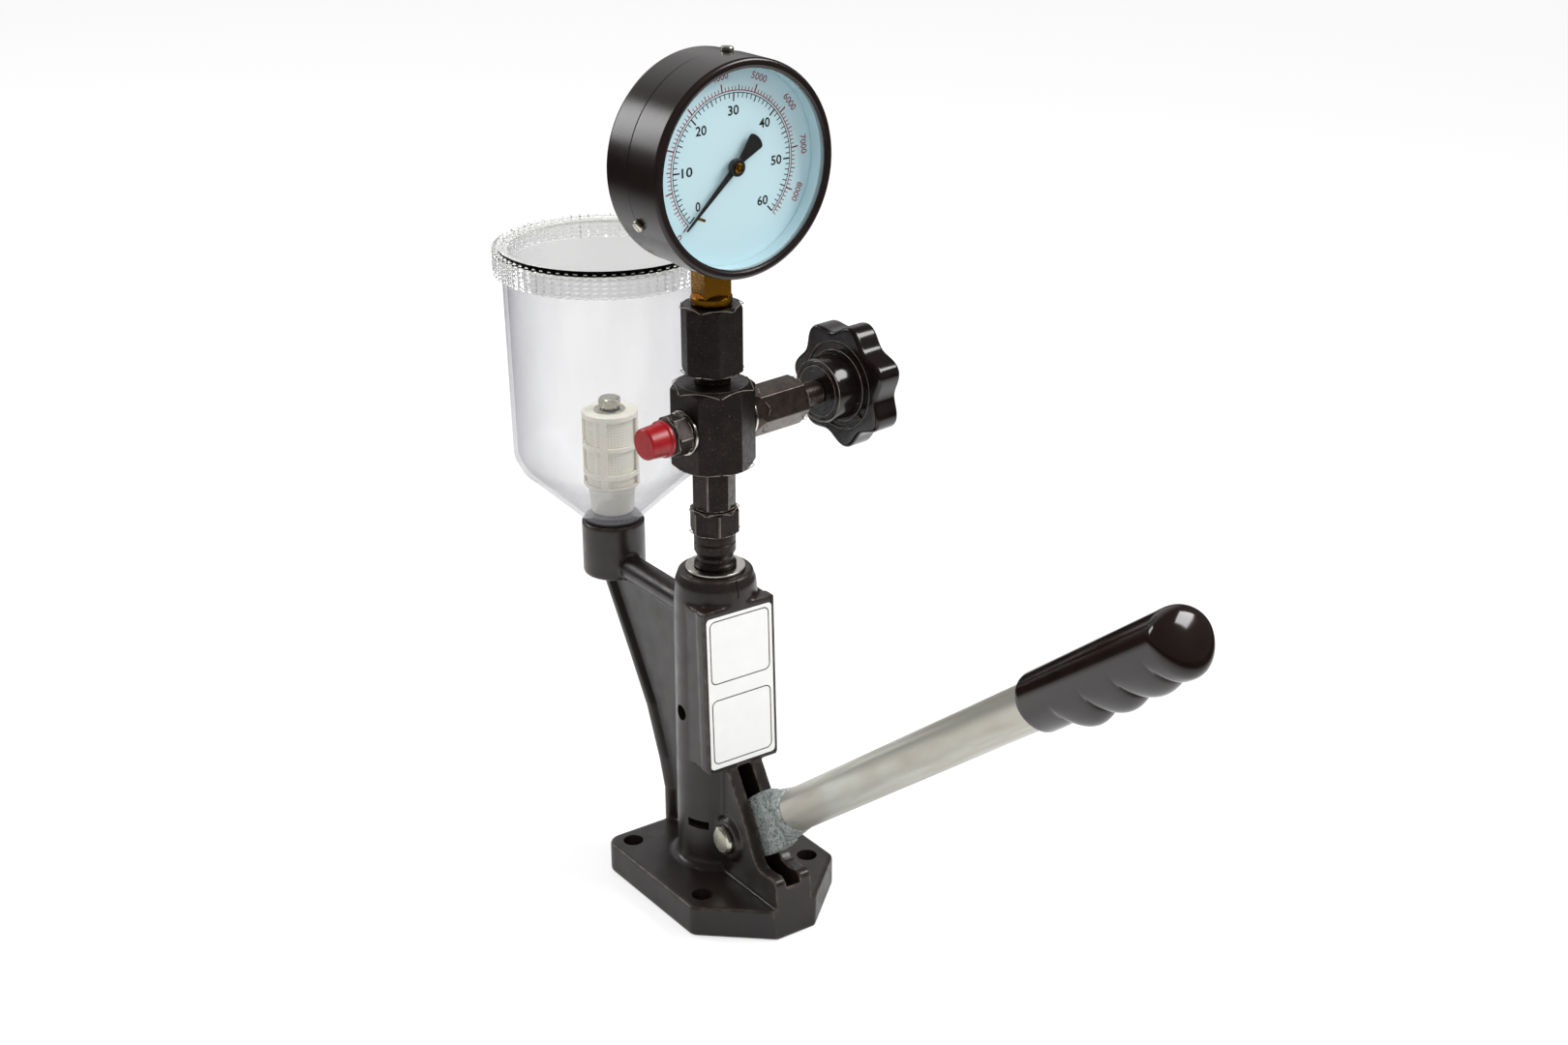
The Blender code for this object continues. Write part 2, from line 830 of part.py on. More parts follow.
def build_stand(side, pivot, container):
    """The casting: foot plate, column, label box, clevis, arm, strut and container boss."""
    middle = plate_thickness / 2
    corners = [
        (plate_half_width, plate_back, plate_back_corner),
        (-plate_half_width, plate_back, plate_back_corner),
        (-plate_half_width, -plate_side_front, plate_side_corner),
        (-plate_front_half_width, -plate_front, plate_front_corner),
        (plate_front_half_width, -plate_front, plate_front_corner),
        (plate_half_width, -plate_side_front, plate_side_corner),
    ]
    body = flat("pump_body", rounded(corners), 0, plate_thickness, edge=plate_edge_round)
    for i, (x, y) in enumerate(((1, 1), (-1, 1), (-1, -1), (1, -1))):
        spot = (x * mount_hole_offset, y * mount_hole_offset, 0)
        top = plate_thickness + overrun
        cut(body, prism(f"mount_hole_{i}", round_steps, mount_hole_radius, -overrun, top, location=spot))

    shoulder = [(r * column_radius, column_top - d * shoulder_height) for r, d in shoulder_shares]
    foot = [(column_radius + r * foot_flare, plate_thickness + d * foot_height) for r, d in foot_shares]
    foot.append((column_radius + foot_flare, middle))
    column = turned("column", shoulder + foot, steps=column_steps)

    # the label box is a front frame on a narrower waist, both with a slanted front
    slant = (box_front_bottom - box_front_top) / (box_top - box_bottom)
    frame_outline = [
        (-box_front_top, box_top),
        (-box_front_bottom, box_bottom),
        (box_frame_depth - box_front_bottom, box_bottom),
        (box_frame_depth - box_front_top, box_top),
    ]
    box_frame = flat("box_frame", frame_outline, -box_half_width, box_half_width, **side)
    round_edges(box_frame, box_corner_round)
    waist_half = box_half_width - box_waist_step
    waist_outline = [
        (box_corner_round - box_front_top, box_top - box_waist_step),
        (box_corner_round - box_front_bottom, box_bottom + box_waist_step),
        (-box_back, box_bottom + box_waist_step),
        (-box_back, box_top - box_waist_step),
    ]
    box_waist = flat("box_waist", waist_outline, -waist_half, waist_half, **side)
    recess_low = box_bottom + label_margin
    recess_high = box_top - label_margin
    recess_outline = [
        (label_recess - box_front_bottom + slant * label_margin, recess_low),
        (label_recess - box_front_top - slant * label_margin, recess_high),
        (-box_front_bottom - overrun, recess_high),
        (-box_front_bottom - overrun, recess_low),
    ]
    label_half = box_half_width - label_margin
    recess = flat("label_recess", recess_outline, -label_half, label_half, **side)

    # clevis ribs run from the nose up to the label box
    rib_foot = plate_front - nose_slant
    clevis_outline = [(0, middle), (-plate_front, middle), (-plate_front, nose_height)]
    for reach_share, rise_share in rib_shares:
        reach = box_front_bottom + reach_share * (rib_foot - box_front_bottom)
        clevis_outline.append((-reach, nose_height + rise_share * (box_bottom - nose_height)))
    inside = box_frame_depth / 2
    clevis_outline += [(inside - box_front_bottom, box_bottom + inside), (0, box_bottom + inside)]
    clevis = flat("clevis", clevis_outline, -clevis_half_width, clevis_half_width, **side)
    boss_outline = [
        (boss_end_radius, boss_face),
        (boss_radius, clevis_half_width),
        (boss_radius, -clevis_half_width),
        (boss_end_radius, -boss_face),
    ]
    bosses = turned("pivot_bosses", boss_outline, **pivot)
    lean = nose_slant / nose_height
    nose_cut_outline = [
        (-plate_front - lean * overrun, -overrun),
        (-rib_foot + lean * overrun, nose_height + overrun),
        (-plate_front - overrun, nose_height + overrun),
        (-plate_front - overrun, -overrun),
    ]
    nose_cut = flat("nose_slant", nose_cut_outline, -plate_half_width, plate_half_width, **side)
    slot_outline = [(0, slot_floor)]
    slot_outline += [(-r * plate_front, slot_floor + d * slot_lip_rise) for r, d in slot_shares]
    slot_outline += [
        (-plate_front - overrun, slot_floor + slot_lip_rise),
        (-plate_front - overrun, slot_top),
        (0, slot_top),
    ]
    slot = flat("clevis_slot", slot_outline, -clevis_slot_half_width, clevis_slot_half_width, **side)
    pin_hole_radius = pin_radius + clearance
    pin_hole_end = boss_face + overrun
    pin_hole = prism("pin_hole", round_steps, pin_hole_radius, -pin_hole_end, pin_hole_end, **pivot)

    # rear arm with the boss that carries the container, its strut and web
    along_arm = {"location": (0, 0, arm_height), "rotation": (-pi / 2, 0, 0)}
    arm = prism("arm", round_steps, arm_radius, column_radius / 2, container_reach, **along_arm)
    boss_bottom = fuel_boss_top - fuel_boss_height
    fuel_boss_outline = [
        (fuel_boss_radius - fuel_boss_edge, fuel_boss_top),
        (fuel_boss_radius, fuel_boss_top - fuel_boss_edge),
        (fuel_boss_radius, boss_bottom + fuel_boss_edge),
        (fuel_boss_radius - fuel_boss_edge, boss_bottom),
    ]
    fuel_boss = turned("fuel_boss", fuel_boss_outline, **container)
    route = [(strut_base_reach + r * strut_lean, strut_foot + d * strut_rise) for r, d in strut_shares]
    strut = as_mesh(bar("strut", [(0, y, z) for y, z in route], strut_radius))
    web_outline = [(column_radius / 2, middle), (strut_base_reach, middle), *route[1:]]
    web_outline += [(container_reach, arm_height), (column_radius / 2, arm_height)]
    web = flat("web", web_outline, -web_half_thickness, web_half_thickness, **side)

    join(body, column, box_frame, box_waist, clevis, bosses, arm, fuel_boss, strut, web)

    bore_outline = [
        (barrel_bore_radius, column_top + overrun),
        (barrel_bore_radius, barrel_seat),
        (chamber_radius, barrel_seat),
        (chamber_radius, chamber_floor),
    ]
    bore = turned("pump_bore", bore_outline)
    side_hole = prism(
        "side_hole",
        small_steps,
        side_hole_radius,
        -column_radius - overrun,
        -chamber_radius / 2,
        location=(0, side_hole_shift, side_hole_height),
        rotation=(0, pi / 2, 0),
    )
    window = box(
        "window",
        (chamber_radius / 2, -window_width / 2, window_bottom),
        (column_radius + overrun, window_width / 2, window_bottom + window_height),
        rotation=(0, 0, window_angle - pi / 2),
    )
    fuel_bore = prism(
        "fuel_bore",
        small_steps,
        fuel_bore_radius,
        barrel_bore_radius / 2,
        container_reach - fuel_drop_offset,
        **along_arm,
    )
    drop_place = (0, container_reach - fuel_drop_offset, 0)
    drop_top = fuel_boss_top + overrun
    fuel_drop = prism("fuel_drop", small_steps, fuel_drop_radius, arm_height, drop_top, location=drop_place)
    thread_bottom = fuel_boss_top - bolt_thread_depth
    bolt_hole = prism("bolt_thread", small_steps, bolt_thread_radius, thread_bottom, drop_top, **container)
    cut(body, nose_cut, recess, bore, slot, pin_hole, side_hole, window, fuel_bore, fuel_drop, bolt_hole)
    finish(body, "coated casting")


def build_pump():
    """Barrel, plunger, tappet and return spring inside the column."""
    barrel_bottom = barrel_seat + clearance
    barrel = ring("pump_barrel", barrel_radius, plunger_bore_radius, barrel_bottom, barrel_top)
    port_bounds = (plunger_bore_radius / 2, barrel_radius + overrun)
    along_arm = {"location": (0, 0, arm_height), "rotation": (-pi / 2, 0, 0)}
    cut(barrel, prism("fuel_port", small_steps, fuel_port_radius, *port_bounds, **along_arm))
    finish(barrel, "ground steel")

    foot_bottom_height = tappet_top + clearance
    foot_top = foot_bottom_height + plunger_foot_height
    plunger = [
        (plunger_radius, plunger_top),
        (plunger_radius, foot_top),
        (plunger_foot_radius, foot_top),
        (plunger_foot_radius, foot_bottom_height),
    ]
    finish(turned("plunger", plunger, steps=small_steps), "ground steel")

    centre = pivot_height + dome_height
    rim_angle = asin((tappet_bottom - centre) / dome_radius)
    tappet = [
        (tappet_radius - tappet_edge, tappet_top),
        (tappet_radius, tappet_top - tappet_edge),
        (tappet_radius, tappet_bottom + tappet_edge),
        (tappet_radius - tappet_edge, tappet_bottom),
        *arc((0, centre), dome_radius, rim_angle, -pi / 2, 5)[:-1],
        (0, centre - dome_radius),
    ]
    finish(turned("tappet", tappet, steps=small_steps), "ground steel")
    coil = (spring_radius, spring_wire_radius, foot_bottom_height, barrel_seat, spring_turns)
    finish(spring("return_spring", *coil), "spring steel")


def build_delivery_valve():
    """Seat, valve, spring and holder above the barrel, up to the valve block."""
    finish(
        ring("top_washer", top_washer_radius, barrel_bore_radius, column_top + clearance, washer_top),
        "ground steel",
    )
    finish(
        ring("delivery_valve_seat", seat_radius, seat_bore_radius, seat_bottom, seat_top, small_steps),
        "ground steel",
    )
    seal_bottom = seat_top + clearance
    seal_inner = seat_radius - seat_seal_width
    seal_top = seal_bottom + seat_seal_thickness
    finish(ring("seat_seal", seat_radius, seal_inner, seal_bottom, seal_top, small_steps), "copper")

    head_top = valve_head_bottom + valve_head_height
    guide_radius = seat_bore_radius - clearance
    valve = [
        (valve_spigot_radius, head_top + valve_spigot_height),
        (valve_spigot_radius, head_top),
        (valve_head_radius, head_top),
        (valve_head_radius, valve_head_bottom),
        (guide_radius, valve_head_bottom),
        (guide_radius, valve_head_bottom - valve_guide_length),
    ]
    finish(turned("delivery_valve", valve, steps=small_steps), "ground steel")
    coil = (valve_spring_radius, valve_spring_wire_radius, head_top + clearance, holder_bore_top - clearance)
    finish(spring("delivery_valve_spring", *coil, valve_spring_turns), "spring steel")

    stub_top = riser_bottom + riser_bore_depth - clearance
    neck_bottom_height = holder_shoulder - holder_neck_length
    groove = neck_bottom_height + holder_neck_length / 2
    foot_top = foot_bottom + holder_foot_thickness
    holder = [
        (holder_stub_radius, stub_top),
        (holder_stub_radius, holder_shoulder),
        (holder_neck_radius, holder_shoulder),
        (holder_neck_radius, groove + holder_groove_depth),
        (holder_neck_radius - holder_groove_depth, groove),
        (holder_neck_radius, groove - holder_groove_depth),
        (holder_neck_radius, neck_bottom_height),
    ]
    for height_share, swell_share in holder_waist_shares:
        radius = holder_waist_radius + swell_share * (holder_neck_radius - holder_waist_radius)
        holder.append((radius, foot_top + height_share * (neck_bottom_height - foot_top)))
    holder += [
        (holder_foot_radius, foot_top),
        (holder_foot_radius, foot_bottom),
        (holder_thread_radius, foot_bottom),
        (holder_thread_radius, holder_bottom),
    ]
    holder_bore = [
        (oil_bore_radius, stub_top),
        (oil_bore_radius, holder_bore_top),
        (holder_bore_radius, holder_bore_top),
        (holder_bore_radius, holder_bottom),
    ]
    finish(turned("delivery_valve_holder", holder, holder_bore), "black oxide steel")

    stub_hole = holder_stub_radius + clearance
    nut_top = lock_nut_bottom + lock_nut_height
    nut = hex_blank(lock_nut_flats, lock_nut_bottom, nut_top)
    nut_bore = [(stub_hole, nut_top), (stub_hole, lock_nut_bottom)]
    finish(turned_hex("lock_nut", lock_nut_flats, nut, nut_bore, lock_nut_turn), "black oxide steel")

    riser_end = riser_top + riser_thread_length
    riser = [(riser_thread_radius, riser_end), (riser_thread_radius, riser_top)]
    riser += hex_blank(riser_flats, riser_bottom, riser_top)
    riser_bore = [
        (oil_bore_radius, riser_end),
        (oil_bore_radius, riser_bottom + riser_bore_depth),
        (stub_hole, riser_bottom + riser_bore_depth),
        (stub_hole, riser_bottom),
    ]
    finish(turned_hex("riser", riser_flats, riser, riser_bore, riser_turn), "black oxide steel")


def build_valve_block(valve):
    """The hexagon block with its upright passage and its cross bore."""
    thread_hole = riser_thread_radius + clearance
    upper_hole = nipple_radius + clearance
    bores = [
        (upper_hole, block_top),
        (upper_hole, block_top - block_bore_depth),
        (oil_bore_radius, block_top - block_bore_depth),
        (oil_bore_radius, block_bottom + block_bore_depth),
        (thread_hole, block_bottom + block_bore_depth),
        (thread_hole, block_bottom),
    ]
    blank = hex_blank(block_flats, block_bottom, block_top, block_chamfer)
    block = turned_hex("valve_block", block_flats, blank, bores, block_turn)
    gland_hole = gland_thread_radius + clearance
    outlet_hole = outlet_thread_radius + clearance
    gland_floor = hex_face - gland_bore_depth
    chamber_end = gland_floor - needle_chamber_depth
    outlet_floor = hex_face - outlet_bore_depth
    cross = [
        (gland_hole, hex_face + overrun),
        (gland_hole, gland_floor),
        (needle_chamber_radius, gland_floor),
        (needle_chamber_radius, chamber_end),
        (cross_bore_radius, chamber_end),
        (cross_bore_radius, -outlet_floor),
        (outlet_hole, -outlet_floor),
        (outlet_hole, -hex_face - overrun),
    ]
    cut(block, turned("cross_bore", cross, parent=valve))
    finish(block, "black oxide steel")


def build_outlet(valve):
    """Outlet connector with its washer and gasket, and the red dust cap, along their own axis."""
    outlet = axes("outlet_axes", (0, 0, 0), (pi, 0, 0), valve)
    washer_low = hex_face + clearance
    washer_high = washer_low + cross_washer_thickness
    washer_hole = outlet_thread_radius + clearance
    washer = ring("outlet_washer", cross_washer_radius, washer_hole, washer_low, washer_high, parent=outlet)
    finish(washer, "ground steel")

    stub_end = outlet_hex_end + outlet_stub_length
    nose_end = hex_face - outlet_bore_depth + clearance
    connector = [
        (outlet_stub_radius - cap_edge, stub_end),
        (outlet_stub_radius, stub_end - cap_edge),
        (outlet_stub_radius, outlet_hex_end),
        *hex_blank(outlet_flats, outlet_hex_face, outlet_hex_end),
        (outlet_thread_radius, outlet_hex_face),
        (outlet_thread_radius, nose_end),
    ]
    seat_depth = outlet_stub_radius / 2
    bore = [
        (seat_depth, stub_end),
        (stem_bore_radius, stub_end - seat_depth),
        (stem_bore_radius, nose_end),
    ]
    piece = turned_hex("outlet_connector", outlet_flats, connector, bore, outlet_turn, parent=outlet)
    finish(piece, "black oxide steel")

    stub_hole = outlet_stub_radius + clearance
    gasket_low = outlet_hex_end + clearance
    gasket_high = gasket_low + outlet_gasket_thickness
    gasket = ring("outlet_gasket", outlet_gasket_radius, stub_hole, gasket_low, gasket_high, parent=outlet)
    finish(gasket, "black rubber")

    cap_end = cap_start + cap_length
    flange_top = cap_start + cap_flange_thickness
    cap = [
        (0, cap_end),
        (cap_end_radius - cap_edge, cap_end),
        (cap_end_radius, cap_end - cap_edge),
        (cap_root_radius, flange_top),
        (cap_flange_radius, flange_top),
        (cap_flange_radius, cap_start),
    ]
    hollow = [(0, cap_end - cap_wall), (stub_hole, cap_end - cap_wall), (stub_hole, cap_start)]
    finish(turned("dust_cap", cap, hollow, parent=outlet), "red plastic")


def build_valve(valve):
    """Shut-off valve: gland, packing, needle, spindle and seven-lobed knob."""
    washer_low = hex_face + clearance
    washer_high = washer_low + cross_washer_thickness
    washer_hole = gland_thread_radius + clearance
    washer = ring("gland_washer", cross_washer_radius, washer_hole, washer_low, washer_high, parent=valve)
    finish(washer, "ground steel")

    gland_end = gland_hex_start + gland_length
    corner = gland_flats / sqrt(3)
    root_slope = (corner - gland_root_radius) / gland_root_length
    wide = corner + overrun
    gland = hex_blank(gland_flats, gland_hex_start, gland_end, gland_chamfer)[:2]
    gland += [
        (wide, gland_hex_start + gland_root_length + overrun / root_slope),
        (gland_root_radius, gland_hex_start),
        (gland_thread_radius, gland_hex_start),
        (gland_thread_radius, hex_face - gland_nose_length),
    ]
    bore = [(gland_bore_radius, gland_end), (gland_bore_radius, hex_face - gland_nose_length)]
    piece = turned_hex("valve_gland", gland_flats, gland, bore, gland_turn, parent=valve)
    finish(piece, "black oxide steel")

    packing_low = hex_face - gland_bore_depth + clearance
    packing_high = packing_low + packing_length
    needle_hole = needle_radius + clearance
    placing = {"steps": small_steps, "parent": valve}
    packing = ring("gland_packing", gland_thread_radius, needle_hole, packing_low, packing_high, **placing)
    finish(packing, "black rubber")
    collar_end = needle_end + needle_collar_length
    needle = [
        (needle_collar_radius, collar_end),
        (needle_collar_radius, needle_end),
        (needle_radius, needle_end),
        (needle_radius, needle_tip_place + needle_cone_length),
        (needle_tip_radius, needle_tip_place),
    ]
    finish(turned("valve_needle", needle, **placing), "ground steel")
    shoulder = knob_hub_start - knob_collar_height - clearance
    spindle = [
        (spindle_tail_radius, shoulder + spindle_tail_length),
        (spindle_tail_radius, shoulder),
        (spindle_radius, shoulder),
        (spindle_radius, collar_end + clearance),
    ]
    finish(turned("valve_spindle", spindle, parent=valve), "ground steel")

    mean = (knob_tip_radius + knob_valley_radius) / 2
    swing = (knob_tip_radius - knob_valley_radius) / 2
    outline = []
    for i in range(knob_lobes * knob_lobe_steps):
        angle = 2 * pi * i / (knob_lobes * knob_lobe_steps)
        radius = mean + swing * cos(knob_lobes * angle)
        turn = angle + pi / 2 + knob_lobe_turn
        outline.append((radius * cos(turn), radius * sin(turn)))
    knob_end = knob_face + knob_thickness
    knob = flat("valve_knob", outline, knob_face, knob_end, edge=knob_edge_round, parent=valve)
    dish_top = knob_face + knob_dish_depth
    dish = prism("knob_dish", fine_steps, knob_dish_radius, knob_face - overrun, dish_top, parent=valve)
    hub = [
        (knob_root_radius, knob_face + knob_thickness / 2),
        (knob_root_radius, knob_face),
        (knob_hub_radius, knob_hub_start + knob_hub_edge),
        (knob_hub_radius - knob_hub_edge, knob_hub_start),
        (knob_collar_radius, knob_hub_start),
        (knob_collar_radius, knob_hub_start - knob_collar_height),
    ]
    bore_end = shoulder + spindle_tail_length + clearance
    tail_hole = spindle_tail_radius + clearance
    bore_start = knob_hub_start - knob_collar_height - overrun
    cut(knob, dish)
    join(knob, turned("knob_hub", hub, parent=valve))
    cut(knob, prism("knob_bore", round_steps, tail_hole, bore_start, bore_end, parent=valve))
    finish(knob, "black plastic")


def build_gauge_coupling(gauge):
    """Nipple, coupling nut, seal and the brass stem that carries the gauge."""
    neck_top = neck_bottom + neck_length
    nipple_end = coupler_bottom + nipple_length
    groove = neck_bottom + neck_length / 2
    nipple = [
        (nipple_radius, nipple_end),
        (nipple_radius, neck_top),
        (neck_radius, neck_top),
        (neck_radius, groove + neck_groove_depth),
        (neck_radius - neck_groove_depth, groove),
        (neck_radius, groove - neck_groove_depth),
        (neck_radius, neck_bottom),
        (nipple_radius, neck_bottom),
        (nipple_radius, block_top - nipple_stud_length),
    ]
    passage = [(oil_bore_radius, nipple_end), (oil_bore_radius, block_top - nipple_stud_length)]
    finish(turned("coupler_nipple", nipple, passage), "black oxide steel")

    lower_top = nipple_end + clearance
    upper_bottom = lower_top + coupler_web
    nipple_hole = nipple_radius + clearance
    stem_hole = stem_thread_radius + clearance
    bores = [
        (stem_hole, coupler_top),
        (stem_hole, upper_bottom),
        (oil_bore_radius, upper_bottom),
        (oil_bore_radius, lower_top),
        (nipple_hole, lower_top),
        (nipple_hole, coupler_bottom),
    ]
    blank = hex_blank(coupler_flats, coupler_bottom, coupler_top)
    coupler = turned_hex("gauge_coupler", coupler_flats, blank, bores, coupler_turn)
    finish(coupler, "black oxide steel")
    seal_bottom = upper_bottom + clearance
    seal_top = seal_bottom + gauge_seal_thickness
    seal_hole = oil_bore_radius + clearance
    seal = ring("gauge_seal", stem_thread_radius, seal_hole, seal_bottom, seal_top, small_steps)
    finish(seal, "copper")

    stem_bottom = seal_top + clearance
    collar_top = collar_bottom + stem_collar_height
    core = [
        (stem_neck_radius, socket_bottom + overrun),
        (stem_neck_radius, stem_square_top),
        (stem_thread_radius, stem_square_top),
        (stem_thread_radius, collar_top),
        (stem_collar_radius, collar_top),
        (stem_collar_radius, collar_bottom),
        (stem_thread_radius, collar_bottom),
        (stem_thread_radius, stem_bottom),
    ]
    stem = turned("gauge_stem", core)
    square_turn = stem_turn + pi / 4
    square_radius = stem_width / sqrt(2)
    square_ends = (collar_top - stem_collar_height / 2, stem_square_top)
    square = prism("stem_square", 4, square_radius, *square_ends, rotation=(0, 0, square_turn))
    socket = box(
        "stem_socket",
        (-socket_half_width, clearance - movement_back, socket_bottom),
        (socket_half_width, socket_back, socket_top),
        rotation=(0, 0, gauge_turn),
    )
    join(stem, square, socket)
    cut(stem, prism("stem_bore", small_steps, stem_bore_radius, stem_bottom - overrun, stem_bore_top))
    finish(stem, "brass")


def build_gauge_housing(gauge):
    """Case, bezel, glass, dial with its inner ring, and the three bezel screws."""
    screw_holes = []
    for i, angle in enumerate(bezel_screw_angles, start=1):
        spot = {"parent": gauge, "rotation": (0, pi / 2, angle)}
        hole_radius = bezel_screw_radius + clearance
        start = case_sleeve_radius - bezel_screw_length
        placing = {**spot, "location": (0, 0, bezel_screw_place)}
        hole = prism(f"screw_hole_{i}", 12, hole_radius, start, bezel_radius + overrun, **placing)
        screw_holes.append(hole)
        out = bezel_radius + clearance
        spot["location"] = (out * cos(angle), out * sin(angle), bezel_screw_place)
        head = [
            (bezel_screw_head_radius - bezel_screw_slot_depth / 2, bezel_screw_head_height),
            (bezel_screw_head_radius, bezel_screw_head_height - bezel_screw_slot_depth / 2),
            (bezel_screw_head_radius, 0),
            (bezel_screw_radius, 0),
            (bezel_screw_radius, -bezel_screw_length),
        ]
        screw = turned(f"bezel_screw_{i}", head, steps=8, **spot)
        half = bezel_screw_slot_width / 2
        low = (-bezel_screw_head_radius - overrun, -half, bezel_screw_head_height - bezel_screw_slot_depth)
        high = (bezel_screw_head_radius + overrun, half, bezel_screw_head_height + overrun)
        cut(screw, box(f"screw_slot_{i}", low, high, **spot))
        finish(screw, "zinc plated steel")

    in_gauge = {"steps": fine_steps, "parent": gauge}
    back = -case_back
    wall_radius = case_sleeve_radius - case_wall
    inner_round = case_back_round - case_wall
    case = [
        (case_sleeve_radius, sleeve_front),
        (case_sleeve_radius, case_seam),
        (case_radius, case_seam),
        *arc((case_radius - case_back_round, back + case_back_round), case_back_round, 0, -pi / 2, 3),
        (0, back),
    ]
    case_inside = [
        (wall_radius, sleeve_front),
        (wall_radius, back + case_back_round),
        (wall_radius - inner_round, back + case_wall),
        (0, back + case_wall),
    ]
    housing = turned("gauge_case", case, case_inside, **in_gauge)
    neck_hole = stem_neck_radius + clearance
    hole_end = case_radius + overrun
    placing = {"parent": gauge, "rotation": (pi / 2, 0, 0)}
    cut(housing, prism("stem_hole", round_steps, neck_hole, wall_radius - overrun, hole_end, **placing))
    cut(housing, *screw_holes)
    finish(housing, "black enamel")

    bezel_inner = bezel_radius - bezel_wall
    edge_centre = (bezel_radius - bezel_edge_round, bezel_front - bezel_edge_round)
    bezel = [*arc(edge_centre, bezel_edge_round, pi / 2, 0, 3), (bezel_radius, bezel_seam)]
    bezel_inside = [
        (bezel_opening + out_share * bezel_lip, bezel_front - back_share * bezel_lip)
        for out_share, back_share in bezel_lip_shares
    ]
    bezel_inside += [(bezel_inner, bezel_front - bezel_lip), (bezel_inner, bezel_seam)]
    rim = turned("gauge_bezel", bezel, bezel_inside, **in_gauge)
    cut(rim, *screw_holes)
    finish(rim, "black enamel")

    pane_radius = bezel_inner - clearance
    pane = [(pane_radius, glass_front), (pane_radius, glass_back)]
    finish(turned("gauge_glass", pane, **in_gauge), "glass")
    ring_low = dial_front + clearance
    ring_high = glass_back - clearance
    inner_ring = ring("dial_ring", pane_radius, dial_ring_inner_radius, ring_low, ring_high, **in_gauge)
    finish(inner_ring, "dial paint")
    dial_hole = arbor_radius + 2 * clearance
    dial = ring("gauge_dial", pane_radius, dial_hole, dial_back, dial_front, **in_gauge)
    pin_turn = asin((pointer_root_half_width + stop_pin_radius + clearance) / stop_pin_place)
    pin_angle = pointer_rest + pin_turn
    pin_spot = (stop_pin_place * cos(pin_angle), stop_pin_place * sin(pin_angle), 0)
    placing = {"parent": gauge, "location": pin_spot}
    pin_hole_radius = stop_pin_radius + clearance
    hole_ends = (dial_back - overrun, dial_front + overrun)
    cut(dial, prism("stop_pin_hole", 12, pin_hole_radius, *hole_ends, **placing))
    finish(dial, "dial paint")
    pin_top = dial_front + stop_pin_height
    finish(prism("zero_stop_pin", 12, stop_pin_radius, dial_back, pin_top, **placing), "brass")


def slot_outline(length, half_width, steps=5):
    """A bar with round ends from the origin along X."""
    far_end = arc((length, 0), half_width, -pi / 2, pi / 2, steps)
    return far_end + arc((0, 0), half_width, pi / 2, 1.5 * pi, steps)


def gear_teeth(full_teeth, indices, phase=0):
    """The outline of some teeth of a gear, centred on the angles that their indices give."""
    pitch_radius = gear_module * full_teeth / 2
    root = pitch_radius - gear_dedendum
    tip = pitch_radius + gear_addendum
    pitch = pi * gear_module
    points = []
    for i in indices:
        angle = phase + 2 * pi * i / full_teeth
        at_root = tooth_root_share * pitch / (2 * root)
        at_tip = tooth_tip_share * pitch / (2 * tip)
        for radius, turn in ((root, -at_root), (tip, -at_tip), (tip, at_tip), (root, at_root)):
            points.append((radius * cos(angle + turn), radius * sin(angle + turn)))
    return points


